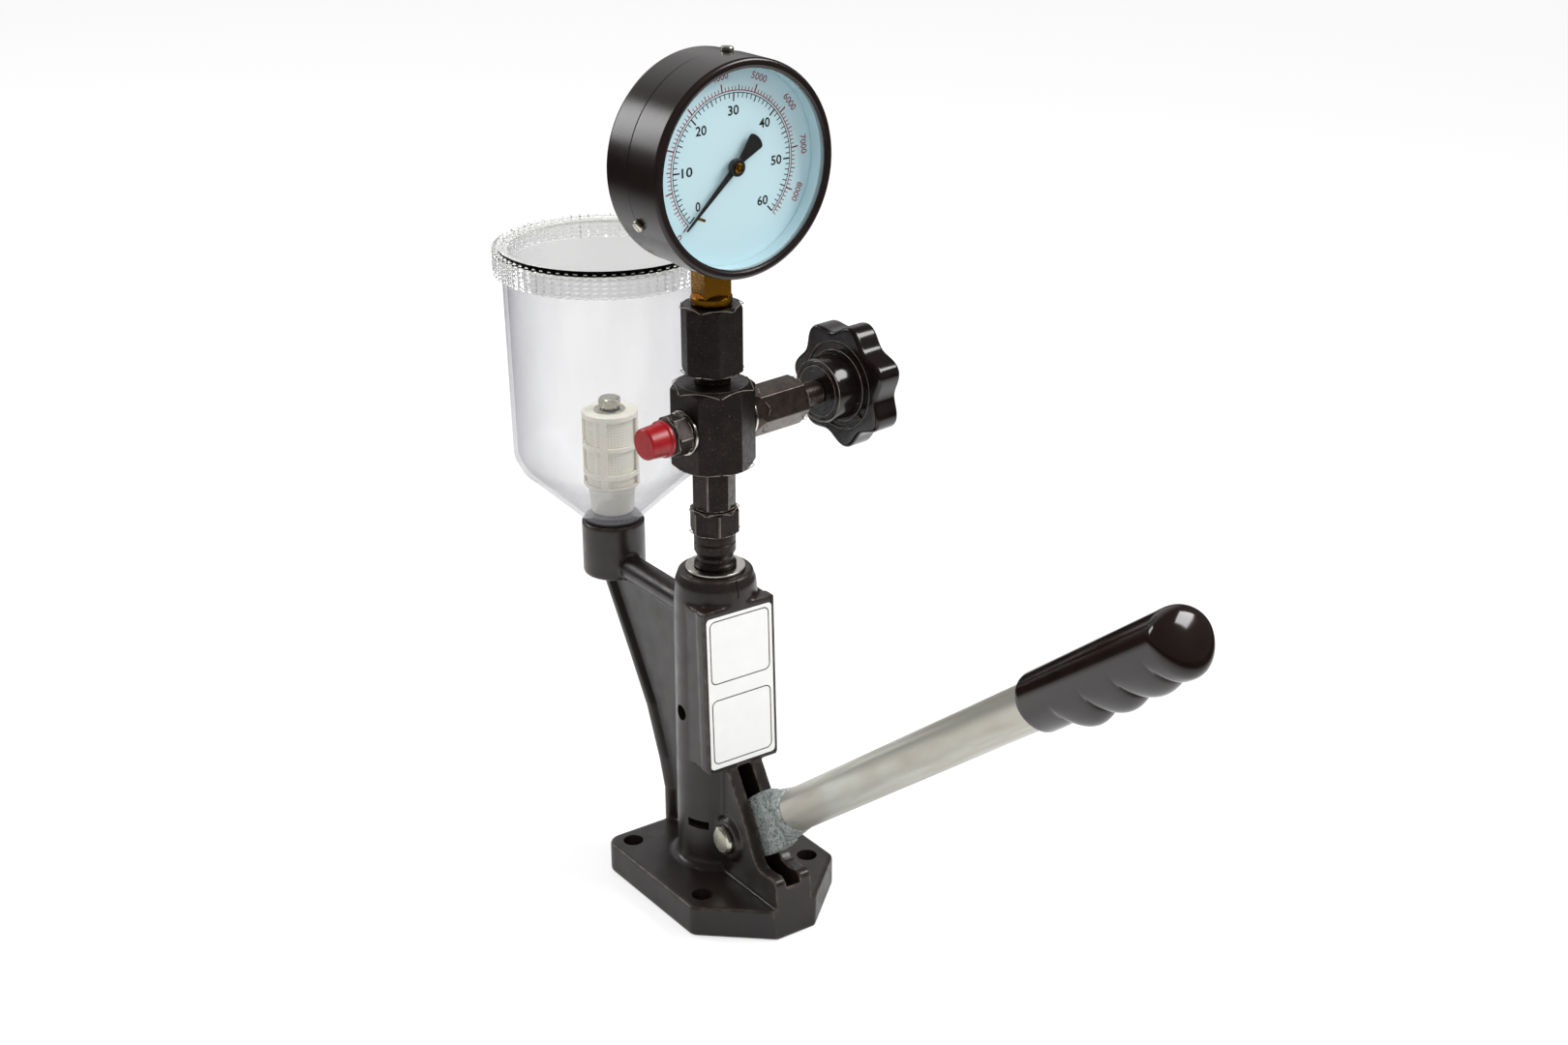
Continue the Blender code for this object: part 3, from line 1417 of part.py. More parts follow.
def build_gauge_works(gauge):
    """Pointer, arbor with pinion, toothed sector, frame, Bourdon tube and link behind the dial."""
    pointer_axes = axes("pointer_axes", (0, 0, pointer_back), (0, 0, pointer_rest), gauge)
    hub_top = pointer_hub_height - clearance
    upper = [
        (pointer_length, pointer_tip_half_width),
        (pointer_hub_radius, pointer_root_half_width),
        (pointer_tail_flare - pointer_tail_length, pointer_root_half_width),
    ]
    for length_share, width_share in pointer_tail_shares:
        reach = pointer_tail_flare * (1 - length_share) - pointer_tail_length
        upper.append((reach, width_share * pointer_tail_half_width))
    lower = [(x, -y) for x, y in reversed(upper)]
    pointer = flat("pointer", upper + lower, 0, pointer_thickness, parent=pointer_axes)
    hub = prism("pointer_hub", round_steps, pointer_hub_radius, -clearance, hub_top, parent=pointer_axes)
    hub_hole = arbor_radius + clearance
    hole_ends = (-overrun, hub_top + overrun)
    join(pointer, hub)
    cut(pointer, prism("pointer_hole", small_steps, hub_hole, *hole_ends, parent=pointer_axes))
    finish(pointer, "pointer paint")

    cap_bottom = pointer_back + pointer_hub_height
    arbor_bottom = movement_back - arbor_tail
    arbor_outline = [
        (arbor_cap_radius, cap_bottom + arbor_cap_height),
        (arbor_cap_radius, cap_bottom),
        (arbor_radius, cap_bottom),
        (arbor_radius, arbor_bottom),
    ]
    arbor = turned("pointer_arbor", arbor_outline, steps=small_steps, parent=gauge)
    half = gear_thickness / 2
    teeth = gear_teeth(pinion_teeth, range(pinion_teeth), pi / pinion_teeth)
    low, high = gear_plane - half - clearance, gear_plane + half + clearance
    join(arbor, flat("pinion", teeth, low, high, parent=gauge))
    finish(arbor, "brass")

    sector_drop = gear_module * (pinion_teeth + sector_full_teeth) / 2
    sector_swing = pointer_swing * pinion_teeth / sector_full_teeth
    sector_rest = pi / 2 - sector_swing / 2
    sector_axes = axes("sector_axes", (0, -sector_drop, gear_plane), (0, 0, sector_rest), gauge)
    on_sector = {"parent": sector_axes}
    root = gear_module * sector_full_teeth / 2 - gear_dedendum
    span = 2 * pi * (sector_side_teeth + 0.5) / sector_full_teeth
    teeth = gear_teeth(sector_full_teeth, range(-sector_side_teeth, sector_side_teeth + 1))
    outline = [(0, -sector_hub_radius), *arc((0, 0), root, -span, -span, 1)[:1], *teeth]
    outline += [*arc((0, 0), root, span, span, 1)[:1], (0, sector_hub_radius)]
    window_span = sector_window_share * span
    inner = arc((0, 0), sector_hub_radius + sector_rim, -window_span, window_span, 3)
    outer = arc((0, 0), root - sector_rim, window_span, -window_span, 6)
    sector = flat("sector_gear", outline, -half, half, holes=(inner + outer,), **on_sector)
    hub_half = half + clearance
    hub = prism("sector_hub", round_steps, sector_hub_radius, -hub_half, hub_half, **on_sector)
    shaft_ends = (arbor_bottom - gear_plane, movement_front + arbor_tail - gear_plane)
    shaft = prism("sector_shaft", small_steps, arbor_radius, *shaft_ends, **on_sector)
    tail_outline = slot_outline(sector_tail_length, sector_tail_half_width)
    tail = flat("sector_tail", tail_outline, -half, half, rotation=(0, 0, sector_tail_angle), **on_sector)
    spot = (sector_tail_length * cos(sector_tail_angle), sector_tail_length * sin(sector_tail_angle), 0)
    pin_low = -half - 2 * clearance - link_thickness
    link_pin = prism("link_pin", 12, link_pin_radius, pin_low, 0, location=spot, **on_sector)
    join(sector, hub, shaft, tail, link_pin)
    finish(sector, "brass")

    tail_angle = sector_rest + sector_tail_angle
    link_spot = (
        sector_tail_length * cos(tail_angle),
        sector_tail_length * sin(tail_angle) - sector_drop,
        gear_plane - half - clearance - link_thickness,
    )
    link_axes = axes("link_axes", link_spot, (0, 0, link_angle), gauge)
    outline = slot_outline(link_length, link_half_width)
    link = flat("bourdon_link", outline, 0, link_thickness, parent=link_axes)
    eye_radius = link_pin_radius + clearance
    eye_ends = (-overrun, link_thickness + overrun)
    cut(link, prism("link_eye", 12, eye_radius, *eye_ends, parent=link_axes))
    finish(link, "brass")

    plate_low = socket_top - gauge_height - movement_foot
    post_x = movement_half_width - movement_post_radius
    front_plate_back = movement_front - movement_plate
    works = box(
        "movement_frame",
        (-movement_half_width, plate_low, movement_back),
        (movement_half_width, movement_top, movement_back + movement_plate),
        parent=gauge,
    )
    front_plate = box(
        "front_plate",
        (-movement_half_width, plate_low, front_plate_back),
        (movement_half_width, movement_top, movement_front),
        parent=gauge,
    )
    join(works, front_plate)
    inside = movement_plate / 2
    for x in (-post_x, post_x):
        for y in (plate_low + movement_post_radius, movement_top - movement_post_radius):
            post_ends = (movement_back + inside, movement_front - inside)
            spot = {"location": (x, y, 0), "parent": gauge}
            join(works, prism("post", 12, movement_post_radius - clearance, *post_ends, **spot))
    for y in (0, -sector_drop):
        hole_ends = (movement_back - overrun, movement_front + overrun)
        spot = {"location": (0, y, 0), "parent": gauge}
        cut(works, prism("arbor_hole", small_steps, arbor_radius + clearance, *hole_ends, **spot))
    finish(works, "brass")

    inner_radius = coil_radius - coil_half_thickness
    start = -pi / 2 - asin((socket_half_width + clearance) / inner_radius)
    route = arc((0, 0), coil_radius, start, start - coil_sweep, coil_steps)
    coil = as_mesh(
        bar("bourdon_tube", [(x, y, 0) for x, y in route], coil_half_thickness, 2, parent=gauge),
        Matrix.Translation((0, 0, -coil_place))
        @ Matrix.Diagonal((1, 1, coil_half_width / coil_half_thickness, 1)),
    )
    finish(coil, "copper")


def superellipse(half_x, half_y, height, power, steps=24):
    points = []
    for i in range(steps):
        angle = 2 * pi * (i + 0.5) / steps
        x = abs(cos(angle)) ** (2 / power) * (1 if cos(angle) > 0 else -1)
        y = abs(sin(angle)) ** (2 / power) * (1 if sin(angle) > 0 else -1)
        points.append((half_x * x, half_y * y, height))
    return points


def build_lever(pivot):
    """Hand lever: flat eye with its bent tongue, flare, tube and grip, on the pivot pin."""
    lever = axes("lever_axes", (0, -pivot_out, pivot_height), (pi / 2 - lever_rest, 0, 0))
    across = {"parent": lever, "rotation": (pi / 2, 0, pi / 2)}
    outline = [(h * head_height, s * flare_start) for s, h in head_top_shares]
    outline += [(y, x) for x, y in arc((0, 0), head_hub_radius, radians(80), radians(125), 4)]
    bend = pi - tongue_bend
    for along, angle in ((tongue_root, bend - pi / 2), (tongue_length - tongue_half_width, None)):
        centre = (along * cos(bend), along * sin(bend))
        if angle is not None:
            outline.append(
                (
                    centre[1] + tongue_half_width * sin(angle),
                    centre[0] + tongue_half_width * cos(angle),
                )
            )
        else:
            tip = arc(centre, tongue_half_width, bend - pi / 2, bend + pi / 2, 8)
            outline += [(y, x) for x, y in tip]
    root = (tongue_root * cos(bend), tongue_root * sin(bend))
    across_root = (-tongue_half_width * sin(bend), tongue_half_width * cos(bend))
    outline.append((root[1] + across_root[1], root[0] + across_root[0]))
    outline += [(y, x) for x, y in arc((0, 0), head_hub_radius, radians(195), radians(265), 5)]
    outline += [(h * head_height, s * flare_start) for s, h in head_bottom_shares]
    head = flat("lever_head", outline, -head_half_thickness, head_half_thickness, **across)

    start_half = head_top_shares[0][1] * head_height
    sections = [superellipse(0.97 * head_half_thickness, 0.97 * start_half, flare_start - overrun, 6)]
    for length_share, blend, power in flare_shares:
        half_x = head_half_thickness + blend * (lever_tube_radius - head_half_thickness)
        half_y = start_half + blend * (lever_tube_radius - start_half)
        sections.append(superellipse(half_x, half_y, flare_start + length_share * flare_length, power))
    flare = loft("lever_flare", sections, parent=lever)
    flare_end = flare_start + flare_length
    spigot_radius = lever_tube_radius - lever_tube_wall - clearance
    spigot_ends = (flare_end - overrun, flare_end + spigot_length)
    spigot = prism("lever_spigot", round_steps, spigot_radius, *spigot_ends, parent=lever)
    join(head, flare, spigot)
    pin_hole_radius = pin_radius + clearance
    hole_reach = head_half_thickness + overrun
    cut(head, prism("lever_pin_hole", round_steps, pin_hole_radius, -hole_reach, hole_reach, **pivot))
    finish(head, "rough zinc")

    tube_start = flare_end + clearance
    tube_inner = lever_tube_radius - lever_tube_wall
    tube = ring("lever_tube", lever_tube_radius, tube_inner, tube_start, lever_tube_end, parent=lever)
    finish(tube, "zinc plated steel")
    build_grip(lever)

    head_face = -(boss_face + clearance)
    groove_low = boss_face + pin_groove_offset
    groove_high = groove_low + clip_thickness + 2 * clearance
    pin_end = groove_high + pin_tail_length
    groove_radius = pin_radius - pin_groove_depth
    pin = [
        (pin_radius - pin_head_round, pin_end),
        (pin_radius, pin_end - pin_head_round),
        (pin_radius, groove_high),
        (groove_radius, groove_high),
        (groove_radius, groove_low),
        (pin_radius, groove_low),
        (pin_radius, head_face),
        (pin_head_radius, head_face),
        (pin_head_radius, head_face - pin_head_height + pin_head_round),
        (pin_head_radius - pin_head_round, head_face - pin_head_height),
    ]
    finish(turned("pivot_pin", pin, **pivot), "zinc plated steel")
    clip_inner = groove_radius + clearance
    outer_gap = asin(clip_gap / 2 / clip_radius)
    inner_gap = asin(clip_gap / 2 / clip_inner)
    outline = arc((0, 0), clip_radius, outer_gap, 2 * pi - outer_gap, 14)
    outline += arc((0, 0), clip_inner, 2 * pi - inner_gap, inner_gap, 10)
    clip_low = groove_low + clearance
    finish(flat("pivot_clip", outline, clip_low, clip_low + clip_thickness, **pivot), "spring steel")


def build_grip(lever):
    """Rubber grip with finger notches below and a bulb at its end."""
    bore_end = lever_tube_end + clearance
    grip_end = bore_end + grip_end_wall
    rows = [(grip_start, grip_radius - grip_front_round, grip_lobe_depth), ]
    rows.append((grip_start + grip_front_round, grip_radius, grip_notch_depth + grip_lobe_depth))
    for lobe in range(grip_lobes):
        for i in range(1, grip_lobe_steps + 1):
            done = i / grip_lobe_steps
            swell = 1 if lobe == 0 and done < 0.5 else sin(pi * done)
            place_along = grip_start + (lobe + done) * grip_lobe_pitch
            rows.append((place_along, grip_radius, grip_notch_depth + grip_lobe_depth * swell))
    lobes_end = grip_start + grip_lobes * grip_lobe_pitch
    bulb = grip_bulb_radius - grip_radius
    for length_share, bulb_share in grip_bulb_shares:
        along = lobes_end + length_share * (grip_end - grip_edge_round - lobes_end)
        rows.append((along, grip_radius + bulb_share * bulb, grip_notch_depth * (1 - bulb_share)))
    centre = grip_bulb_radius - grip_edge_round
    for along, radius in arc((grip_end - grip_edge_round, centre), grip_edge_round, pi / 2, 0, 3)[1:]:
        rows.append((along, radius, 0))
    sections = []
    for along, radius, depth in rows:
        section = []
        for i in range(grip_sides):
            angle = 2 * pi * (i + 0.5) / grip_sides
            reach = radius + depth * max(0, -sin(angle)) ** 1.5
            section.append((reach * cos(angle), reach * sin(angle), along))
        sections.append(section)
    grip = loft("lever_grip", sections, parent=lever)
    bore_radius = lever_tube_radius + clearance
    cut(grip, prism("grip_bore", round_steps, bore_radius, grip_start - overrun, bore_end, parent=lever))
    finish(grip, "black plastic")


def build_container(container):
    """Fuel container with its seal, strainer, bolt, gasket and screw lid."""
    seal_low = fuel_boss_top + clearance
    seal = ring(
        "bowl_seal",
        bowl_seal_outer_radius,
        bowl_seal_inner_radius,
        seal_low,
        seal_low + bowl_seal_thickness,
        **container,
    )
    finish(seal, "black rubber")

    bowl = [
        (bowl_neck_radius, bowl_rim),
        (bowl_neck_radius, bowl_rim - bowl_neck_height),
        (bowl_base_radius, bowl_bottom + bowl_base_height),
        (bowl_corner_radius, bowl_bottom + bowl_corner_height),
        (bowl_cone_radius, bowl_bottom + bowl_cone_height),
        (bowl_foot_radius, bowl_bottom),
        (bolt_hole_radius, bowl_bottom),
    ]
    lift = bowl_wall / 2
    inside = [
        (bowl_neck_radius - bowl_wall, bowl_rim),
        (bowl_neck_radius - bowl_wall, bowl_rim - bowl_neck_height),
        (bowl_base_radius - bowl_wall, bowl_bottom + bowl_base_height),
        (bowl_corner_radius - bowl_wall, bowl_bottom + bowl_corner_height + lift / 2),
        (bowl_cone_radius - bowl_wall, bowl_bottom + bowl_cone_height + lift),
        (bowl_foot_radius, bowl_bottom + bowl_floor),
        (bolt_hole_radius, bowl_bottom + bowl_floor),
    ]
    body = turned("container_bowl", bowl, inside, steps=fine_steps, **container)
    hole_spot = (0, container_reach - fuel_drop_offset, 0)
    hole_ends = (bowl_bottom - overrun, bowl_bottom + bowl_floor + overrun)
    cut(body, prism("bowl_hole", small_steps, fuel_drop_radius, *hole_ends, location=hole_spot))
    finish(body, "clear plastic")

    cage_bottom = strainer_bottom + strainer_skirt_height + strainer_shoulder
    skirt_top = strainer_bottom + strainer_skirt_height
    neck = strainer_radius - strainer_wall - strainer_step
    cage = [
        (strainer_radius, strainer_top),
        (strainer_radius, cage_bottom),
        (strainer_radius - strainer_step, skirt_top),
        (strainer_foot_radius, strainer_bottom),
    ]
    cage_inside = [
        (bolt_hole_radius, strainer_top),
        (bolt_hole_radius, strainer_top - strainer_wall),
        (strainer_radius - strainer_wall, strainer_top - strainer_wall),
        (strainer_radius - strainer_wall, cage_bottom),
        (neck, skirt_top),
        (strainer_foot_radius - strainer_wall, strainer_bottom),
    ]
    strainer = turned("strainer_frame", cage, cage_inside, **container)
    half_ring = strainer_ring_height / 2
    reach = strainer_radius + overrun
    half_window = strainer_window_width / 2
    edges = [strainer_bottom + height for height in strainer_rings]
    edges.append(strainer_top - strainer_wall)
    for i, (low, high) in enumerate(zip(edges, edges[1:])):
        for name, x, y in (("a", reach, half_window), ("b", half_window, reach)):
            corner = (-x, -y, low + half_ring), (x, y, high - half_ring)
            cut(strainer, box(f"strainer_window_{i}{name}", *corner, **container))
    finish(strainer, "ivory plastic")
    gauze_outer = strainer_radius - strainer_wall - clearance
    gauze_low = cage_bottom + clearance
    gauze_high = strainer_top - strainer_wall - clearance
    gauze = ring("strainer_mesh", gauze_outer, gauze_outer - gauze_wall, gauze_low, gauze_high, **container)
    finish(gauze, "filter gauze")

    washer_top_height = bolt_washer_bottom + bolt_washer_thickness
    placing = {"steps": small_steps, **container}
    washer = ring(
        "bolt_washer", bolt_washer_radius, bolt_hole_radius, bolt_washer_bottom, washer_top_height, **placing
    )
    finish(washer, "zinc plated steel")
    head_top = bolt_head_bottom + bolt_head_height
    bolt = hex_blank(bolt_head_flats, bolt_head_bottom, head_top, bolt_head_chamfer)
    bolt += [
        (bolt_radius, bolt_head_bottom),
        (bolt_radius, fuel_boss_top - bolt_thread_depth + bolt_end_gap),
    ]
    bolt = turned_hex("strainer_bolt", bolt_head_flats, bolt, turn=bolt_turn, **placing)
    finish(bolt, "zinc plated steel")

    gasket_low = bowl_rim + clearance
    gasket = ring(
        "lid_gasket",
        bowl_neck_radius,
        bowl_neck_radius - lid_gasket_width,
        gasket_low,
        gasket_low + lid_gasket_thickness,
        steps=fine_steps,
        **container,
    )
    finish(gasket, "black rubber")
    panel_top = lid_underside + lid_panel
    lid_bottom = lid_top - lid_height
    lid = [
        (0, panel_top),
        (lid_rim_radius, panel_top),
        (lid_rim_radius, lid_top),
        (lid_core_radius - lid_edge_round, lid_top),
        (lid_core_radius, lid_top - lid_edge_round),
        (lid_core_radius, lid_bottom),
    ]
    lid_inside = [(0, lid_underside), (lid_inner_radius, lid_underside), (lid_inner_radius, lid_bottom)]
    cover = turned("container_lid", lid, lid_inside, steps=fine_steps, **container)
    rib_turn = 2 * pi / lid_ribs
    outline = []
    valley = lid_core_radius + lid_rib_root
    tip = lid_core_radius + lid_rib_height
    for i in range(lid_ribs):
        for radius, share in ((valley, 0.0), (tip, 0.5)):
            angle = rib_turn * (i + share)
            outline.append((radius * cos(angle), radius * sin(angle)))
    hole = arc((0, 0), lid_core_radius - lid_wall / 2, 0, 2 * pi, fine_steps)[:-1]
    low, high = lid_bottom + lid_rib_step, lid_top - lid_rib_step
    join(cover, flat("lid_ribs", outline, low, high, holes=(hole,), **container))
    finish(cover, "clear plastic")


def build():
    clear_scene()
    make_collections()
    side = {"rotation": (pi / 2, 0, pi / 2)}
    pivot = {"location": (0, -pivot_out, pivot_height), "rotation": (0, pi / 2, 0)}
    container = {"location": (0, container_reach, 0)}
    valve = axes("valve_axes", (0, 0, cross_height), (0, pi / 2, block_turn))
    gauge = axes("gauge_axes", (0, 0, gauge_height), (pi / 2, 0, gauge_turn))
    build_stand(side, pivot, container)
    build_pump()
    build_delivery_valve()
    build_valve_block(valve)
    build_outlet(valve)
    build_valve(valve)
    build_gauge_coupling(gauge)
    build_gauge_housing(gauge)
    build_gauge_works(gauge)
    build_lever(pivot)
    build_container(container)


build()
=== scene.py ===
"""Looks of a diesel injector tester: smooth castings, turned and milled fittings, gauge, lever and fuel bowl."""

from math import asin, atan2, cos, hypot, pi, radians, sin, sqrt, tan

import bmesh
import bpy
from mathutils import Matrix, Vector


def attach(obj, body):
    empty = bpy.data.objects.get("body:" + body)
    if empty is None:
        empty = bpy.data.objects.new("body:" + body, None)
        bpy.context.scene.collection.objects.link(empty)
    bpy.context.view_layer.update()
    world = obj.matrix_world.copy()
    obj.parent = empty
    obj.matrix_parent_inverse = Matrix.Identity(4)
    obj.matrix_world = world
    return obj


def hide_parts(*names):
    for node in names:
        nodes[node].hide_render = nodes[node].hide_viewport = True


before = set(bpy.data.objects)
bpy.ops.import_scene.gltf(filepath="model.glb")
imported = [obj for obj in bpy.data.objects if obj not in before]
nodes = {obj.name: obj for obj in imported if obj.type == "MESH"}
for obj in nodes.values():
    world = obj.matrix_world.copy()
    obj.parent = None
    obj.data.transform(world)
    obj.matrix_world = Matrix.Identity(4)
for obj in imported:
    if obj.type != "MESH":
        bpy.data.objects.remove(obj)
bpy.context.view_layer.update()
MM = 0.001

# Axes of the sub-assemblies, in millimetres in the object's frame
UPRIGHT = Matrix.Identity(4)
VALVE = Matrix.Translation((0, 0, 251.2)) @ Matrix.Rotation(radians(6.85), 4, "Z") @ Matrix.Rotation(pi / 2, 4, "Y")
OUTLET = VALVE @ Matrix.Rotation(pi, 4, "X")
GAUGE = Matrix.Translation((0, 0, 380.2)) @ Matrix.Rotation(radians(3.2), 4, "Z") @ Matrix.Rotation(pi / 2, 4, "X")
PIVOT = Matrix.Translation((0, -25, 37.8)) @ Matrix.Rotation(pi / 2, 4, "Y")
LEVER = Matrix.Translation((0, -25, 37.8)) @ Matrix.Rotation(pi / 2 - radians(37.4), 4, "X")
BOWL = Matrix.Translation((0, 96.4, 0))
SIDE = Matrix.Rotation(pi / 2, 4, "Z") @ Matrix.Rotation(pi / 2, 4, "X")


# Colour and node helpers


def linear(code):
    """The linear colour of an sRGB hex value."""
    values = [int(code[i : i + 2], 16) / 255 for i in (1, 3, 5)]
    return [v / 12.92 if v <= 0.04045 else ((v + 0.055) / 1.055) ** 2.4 for v in values] + [1.0]


def node(tree, kind, values=None, links=None, **settings):
    """Add a node with its settings, socket values and links."""
    made = tree.nodes.new(kind)
    for name, value in settings.items():
        setattr(made, name, value)
    for name, value in (values or {}).items():
        made.inputs[name].default_value = value
    for name, source in (links or {}).items():
        tree.links.new(source, made.inputs[name])
    return made


def material(name, colour, roughness, metallic=0.0, **sockets):
    """A Principled material and its parts: material, tree, shader and object coordinates."""
    made = bpy.data.materials.new(name)
    made.use_nodes = True
    tree = made.node_tree
    shader = tree.nodes["Principled BSDF"]
    shader.inputs["Base Color"].default_value = linear(colour)
    shader.inputs["Roughness"].default_value = roughness
    shader.inputs["Metallic"].default_value = metallic
    for socket, value in sockets.items():
        shader.inputs[socket.replace("_", " ")].default_value = value
    place = node(tree, "ShaderNodeTexCoord").outputs["Object"]
    return made, tree, shader, place


def blend_colours(tree, factor, first, second):
    """The colour between two hex values that a factor picks."""
    mix = node(tree, "ShaderNodeMix", links={"Factor": factor}, data_type="RGBA")
    mix.inputs[6].default_value = linear(first)
    mix.inputs[7].default_value = linear(second)
    return mix.outputs[2]


# Geometry helpers, all in millimetres


def arc(centre, radius, start, end, steps):
    angles = [start + (end - start) * i / steps for i in range(steps + 1)]
    return [(centre[0] + radius * cos(a), centre[1] + radius * sin(a)) for a in angles]


def eased(points, radius, closed=True, steps=3):
    """The same outline with every real corner rounded by a small arc."""
    result = []
    count = len(points)
    for i, point in enumerate(points):
        if not closed and i in (0, count - 1):
            result.append(point)
            continue
        here = Vector(point)
        back = Vector(points[i - 1]) - here
        ahead = Vector(points[(i + 1) % count]) - here
        limit = 0.45 * min(back.length, ahead.length)
        back.normalize()
        ahead.normalize()
        half = back.angle(ahead) / 2
        if half > radians(80) or half < radians(5):
            result.append(point)
            continue
        size = min(radius, limit * tan(half))
        centre = here + (back + ahead).normalized() * size / sin(half)
        first = here + back * size / tan(half) - centre
        last = here + ahead * size / tan(half) - centre
        start = atan2(first.y, first.x)
        turn = (atan2(last.y, last.x) - start + pi) % (2 * pi) - pi
        result += arc(centre, size, start, start + turn, steps)
    return result


def mesh_object(name, shape, matrix=UPRIGHT):
    """An object of a bmesh in millimetres, put in place in its mesh."""
    mesh = bpy.data.meshes.new(name)
    shape.transform(matrix)
    bmesh.ops.remove_doubles(shape, verts=shape.verts, dist=0.0005)
    bmesh.ops.recalc_face_normals(shape, faces=shape.faces)
    shape.to_mesh(mesh)
    shape.free()
    made = bpy.data.objects.new(name, mesh)
    bpy.context.scene.collection.objects.link(made)
    return made


def lathe(name, profile, matrix=UPRIGHT, steps=96, ease=0.25, closed=True):
    """A turned shape from (radius, height) points; an open profile starts and ends on the axis."""
    points = eased(profile, ease, closed) if ease else profile
    shape = bmesh.new()
    rings = []
    for radius, height in points:
        if radius < 0.001:
            rings.append([shape.verts.new((0, 0, height))] * steps)
        else:
            spots = [(radius * cos(2 * pi * i / steps), radius * sin(2 * pi * i / steps)) for i in range(steps)]
            rings.append([shape.verts.new((x, y, height)) for x, y in spots])
    pairs = list(zip(rings, rings[1:]))
    if closed:
        pairs.append((rings[-1], rings[0]))
    for low, high in pairs:
        for i in range(steps):
            j = (i + 1) % steps
            corners = list(dict.fromkeys((low[i], low[j], high[j], high[i])))
            if len(corners) > 2:
                shape.faces.new(corners)
    return mesh_object(name, shape, matrix)


def plate(name, outline, low, high, matrix=UPRIGHT, edge=0.0, holes=(), segments=2):
    """A flat piece from an outline, with rounded rims where edge is given."""
    curve = bpy.data.curves.new(name, "CURVE")
    curve.dimensions = "2D"
    curve.fill_mode = "BOTH"
    curve.extrude = (high - low) / 2 - edge
    curve.bevel_depth = edge
    curve.bevel_resolution = segments
    curve.offset = -edge
    for loop in (outline, *holes):
        spline = curve.splines.new("POLY")
        spline.points.add(len(loop) - 1)
        for point, (x, y) in zip(spline.points, loop):
            point.co = (x, y, 0, 1)
        spline.use_cyclic_u = True
    holder = bpy.data.objects.new(name, curve)
    bpy.context.scene.collection.objects.link(holder)
    bpy.context.view_layer.update()
    graph = bpy.context.evaluated_depsgraph_get()
    flat = bpy.data.meshes.new_from_object(holder.evaluated_get(graph))
    shape = bmesh.new()
    shape.from_mesh(flat)
    bpy.data.objects.remove(holder, do_unlink=True)
    return mesh_object(name, shape, matrix @ Matrix.Translation((0, 0, (low + high) / 2)))


def block(name, low, high, matrix=UPRIGHT):
    shape = bmesh.new()
    bmesh.ops.create_cube(shape, size=1)
    bmesh.ops.scale(shape, verts=shape.verts, vec=Vector(high) - Vector(low))
    bmesh.ops.translate(shape, verts=shape.verts, vec=(Vector(low) + Vector(high)) / 2)
    return mesh_object(name, shape, matrix)


def skin(name, sections, matrix=UPRIGHT):
    """A closed skin through sections of equal point counts."""
    shape = bmesh.new()
    rows = [[shape.verts.new(point) for point in section] for section in sections]
    count = len(rows[0])
    for row, following in zip(rows, rows[1:]):
        for i in range(count):
            j = (i + 1) % count
            shape.faces.new((row[i], row[j], following[j], following[i]))
    shape.faces.new(list(reversed(rows[0])))
    shape.faces.new(rows[-1])
    return mesh_object(name, shape, matrix)


def rod(name, route, radius, matrix=UPRIGHT, resolution=6):
    """A round bar along a route."""
    curve = bpy.data.curves.new(name, "CURVE")
    curve.dimensions = "3D"
    curve.bevel_depth = radius
    curve.bevel_resolution = resolution
    curve.use_fill_caps = True
    spline = curve.splines.new("POLY")
    spline.points.add(len(route) - 1)
    for point, spot in zip(spline.points, route):
        point.co = (*spot, 1)
    holder = bpy.data.objects.new(name, curve)
    bpy.context.scene.collection.objects.link(holder)
    bpy.context.view_layer.update()
    graph = bpy.context.evaluated_depsgraph_get()
    shape = bmesh.new()
    shape.from_mesh(bpy.data.meshes.new_from_object(holder.evaluated_get(graph)))
    bpy.data.objects.remove(holder, do_unlink=True)
    return mesh_object(name, shape, matrix)


def settle(obj):
    """Apply an object's modifiers to its mesh."""
    bpy.context.view_layer.update()
    graph = bpy.context.evaluated_depsgraph_get()
    mesh = bpy.data.meshes.new_from_object(obj.evaluated_get(graph))
    obj.modifiers.clear()
    obj.data = mesh
    return obj


def carve(obj, other, operation="DIFFERENCE"):
    """Cut, join or intersect with another closed object, which is used up."""
    change = obj.modifiers.new("Boolean", "BOOLEAN")
    change.operation = operation
    change.solver = "EXACT"
    change.object = other
    settle(obj)
    bpy.data.objects.remove(other, do_unlink=True)
    return obj


def fuse(name, pieces):
    """Several closed shells as one object, before a remesh or as a single cutter."""
    shape = bmesh.new()
    for part in pieces:
        shape.from_mesh(part.data)
        bpy.data.objects.remove(part, do_unlink=True)
    mesh = bpy.data.meshes.new(name)
    shape.to_mesh(mesh)
    shape.free()
    made = bpy.data.objects.new(name, mesh)
    bpy.context.scene.collection.objects.link(made)
    return made


def cast(obj, voxel, smoothing, keep):
    """Melt overlapping shells into one skin with the soft fillets of a casting."""
    remesh = obj.modifiers.new("Skin", "REMESH")
    remesh.mode = "VOXEL"
    remesh.voxel_size = voxel
    remesh.adaptivity = 0.0
    smooth = obj.modifiers.new("Fillets", "SMOOTH")
    smooth.factor = 0.5
    smooth.iterations = smoothing
    thin = obj.modifiers.new("Thin", "DECIMATE")
    thin.ratio = keep
    return settle(obj)


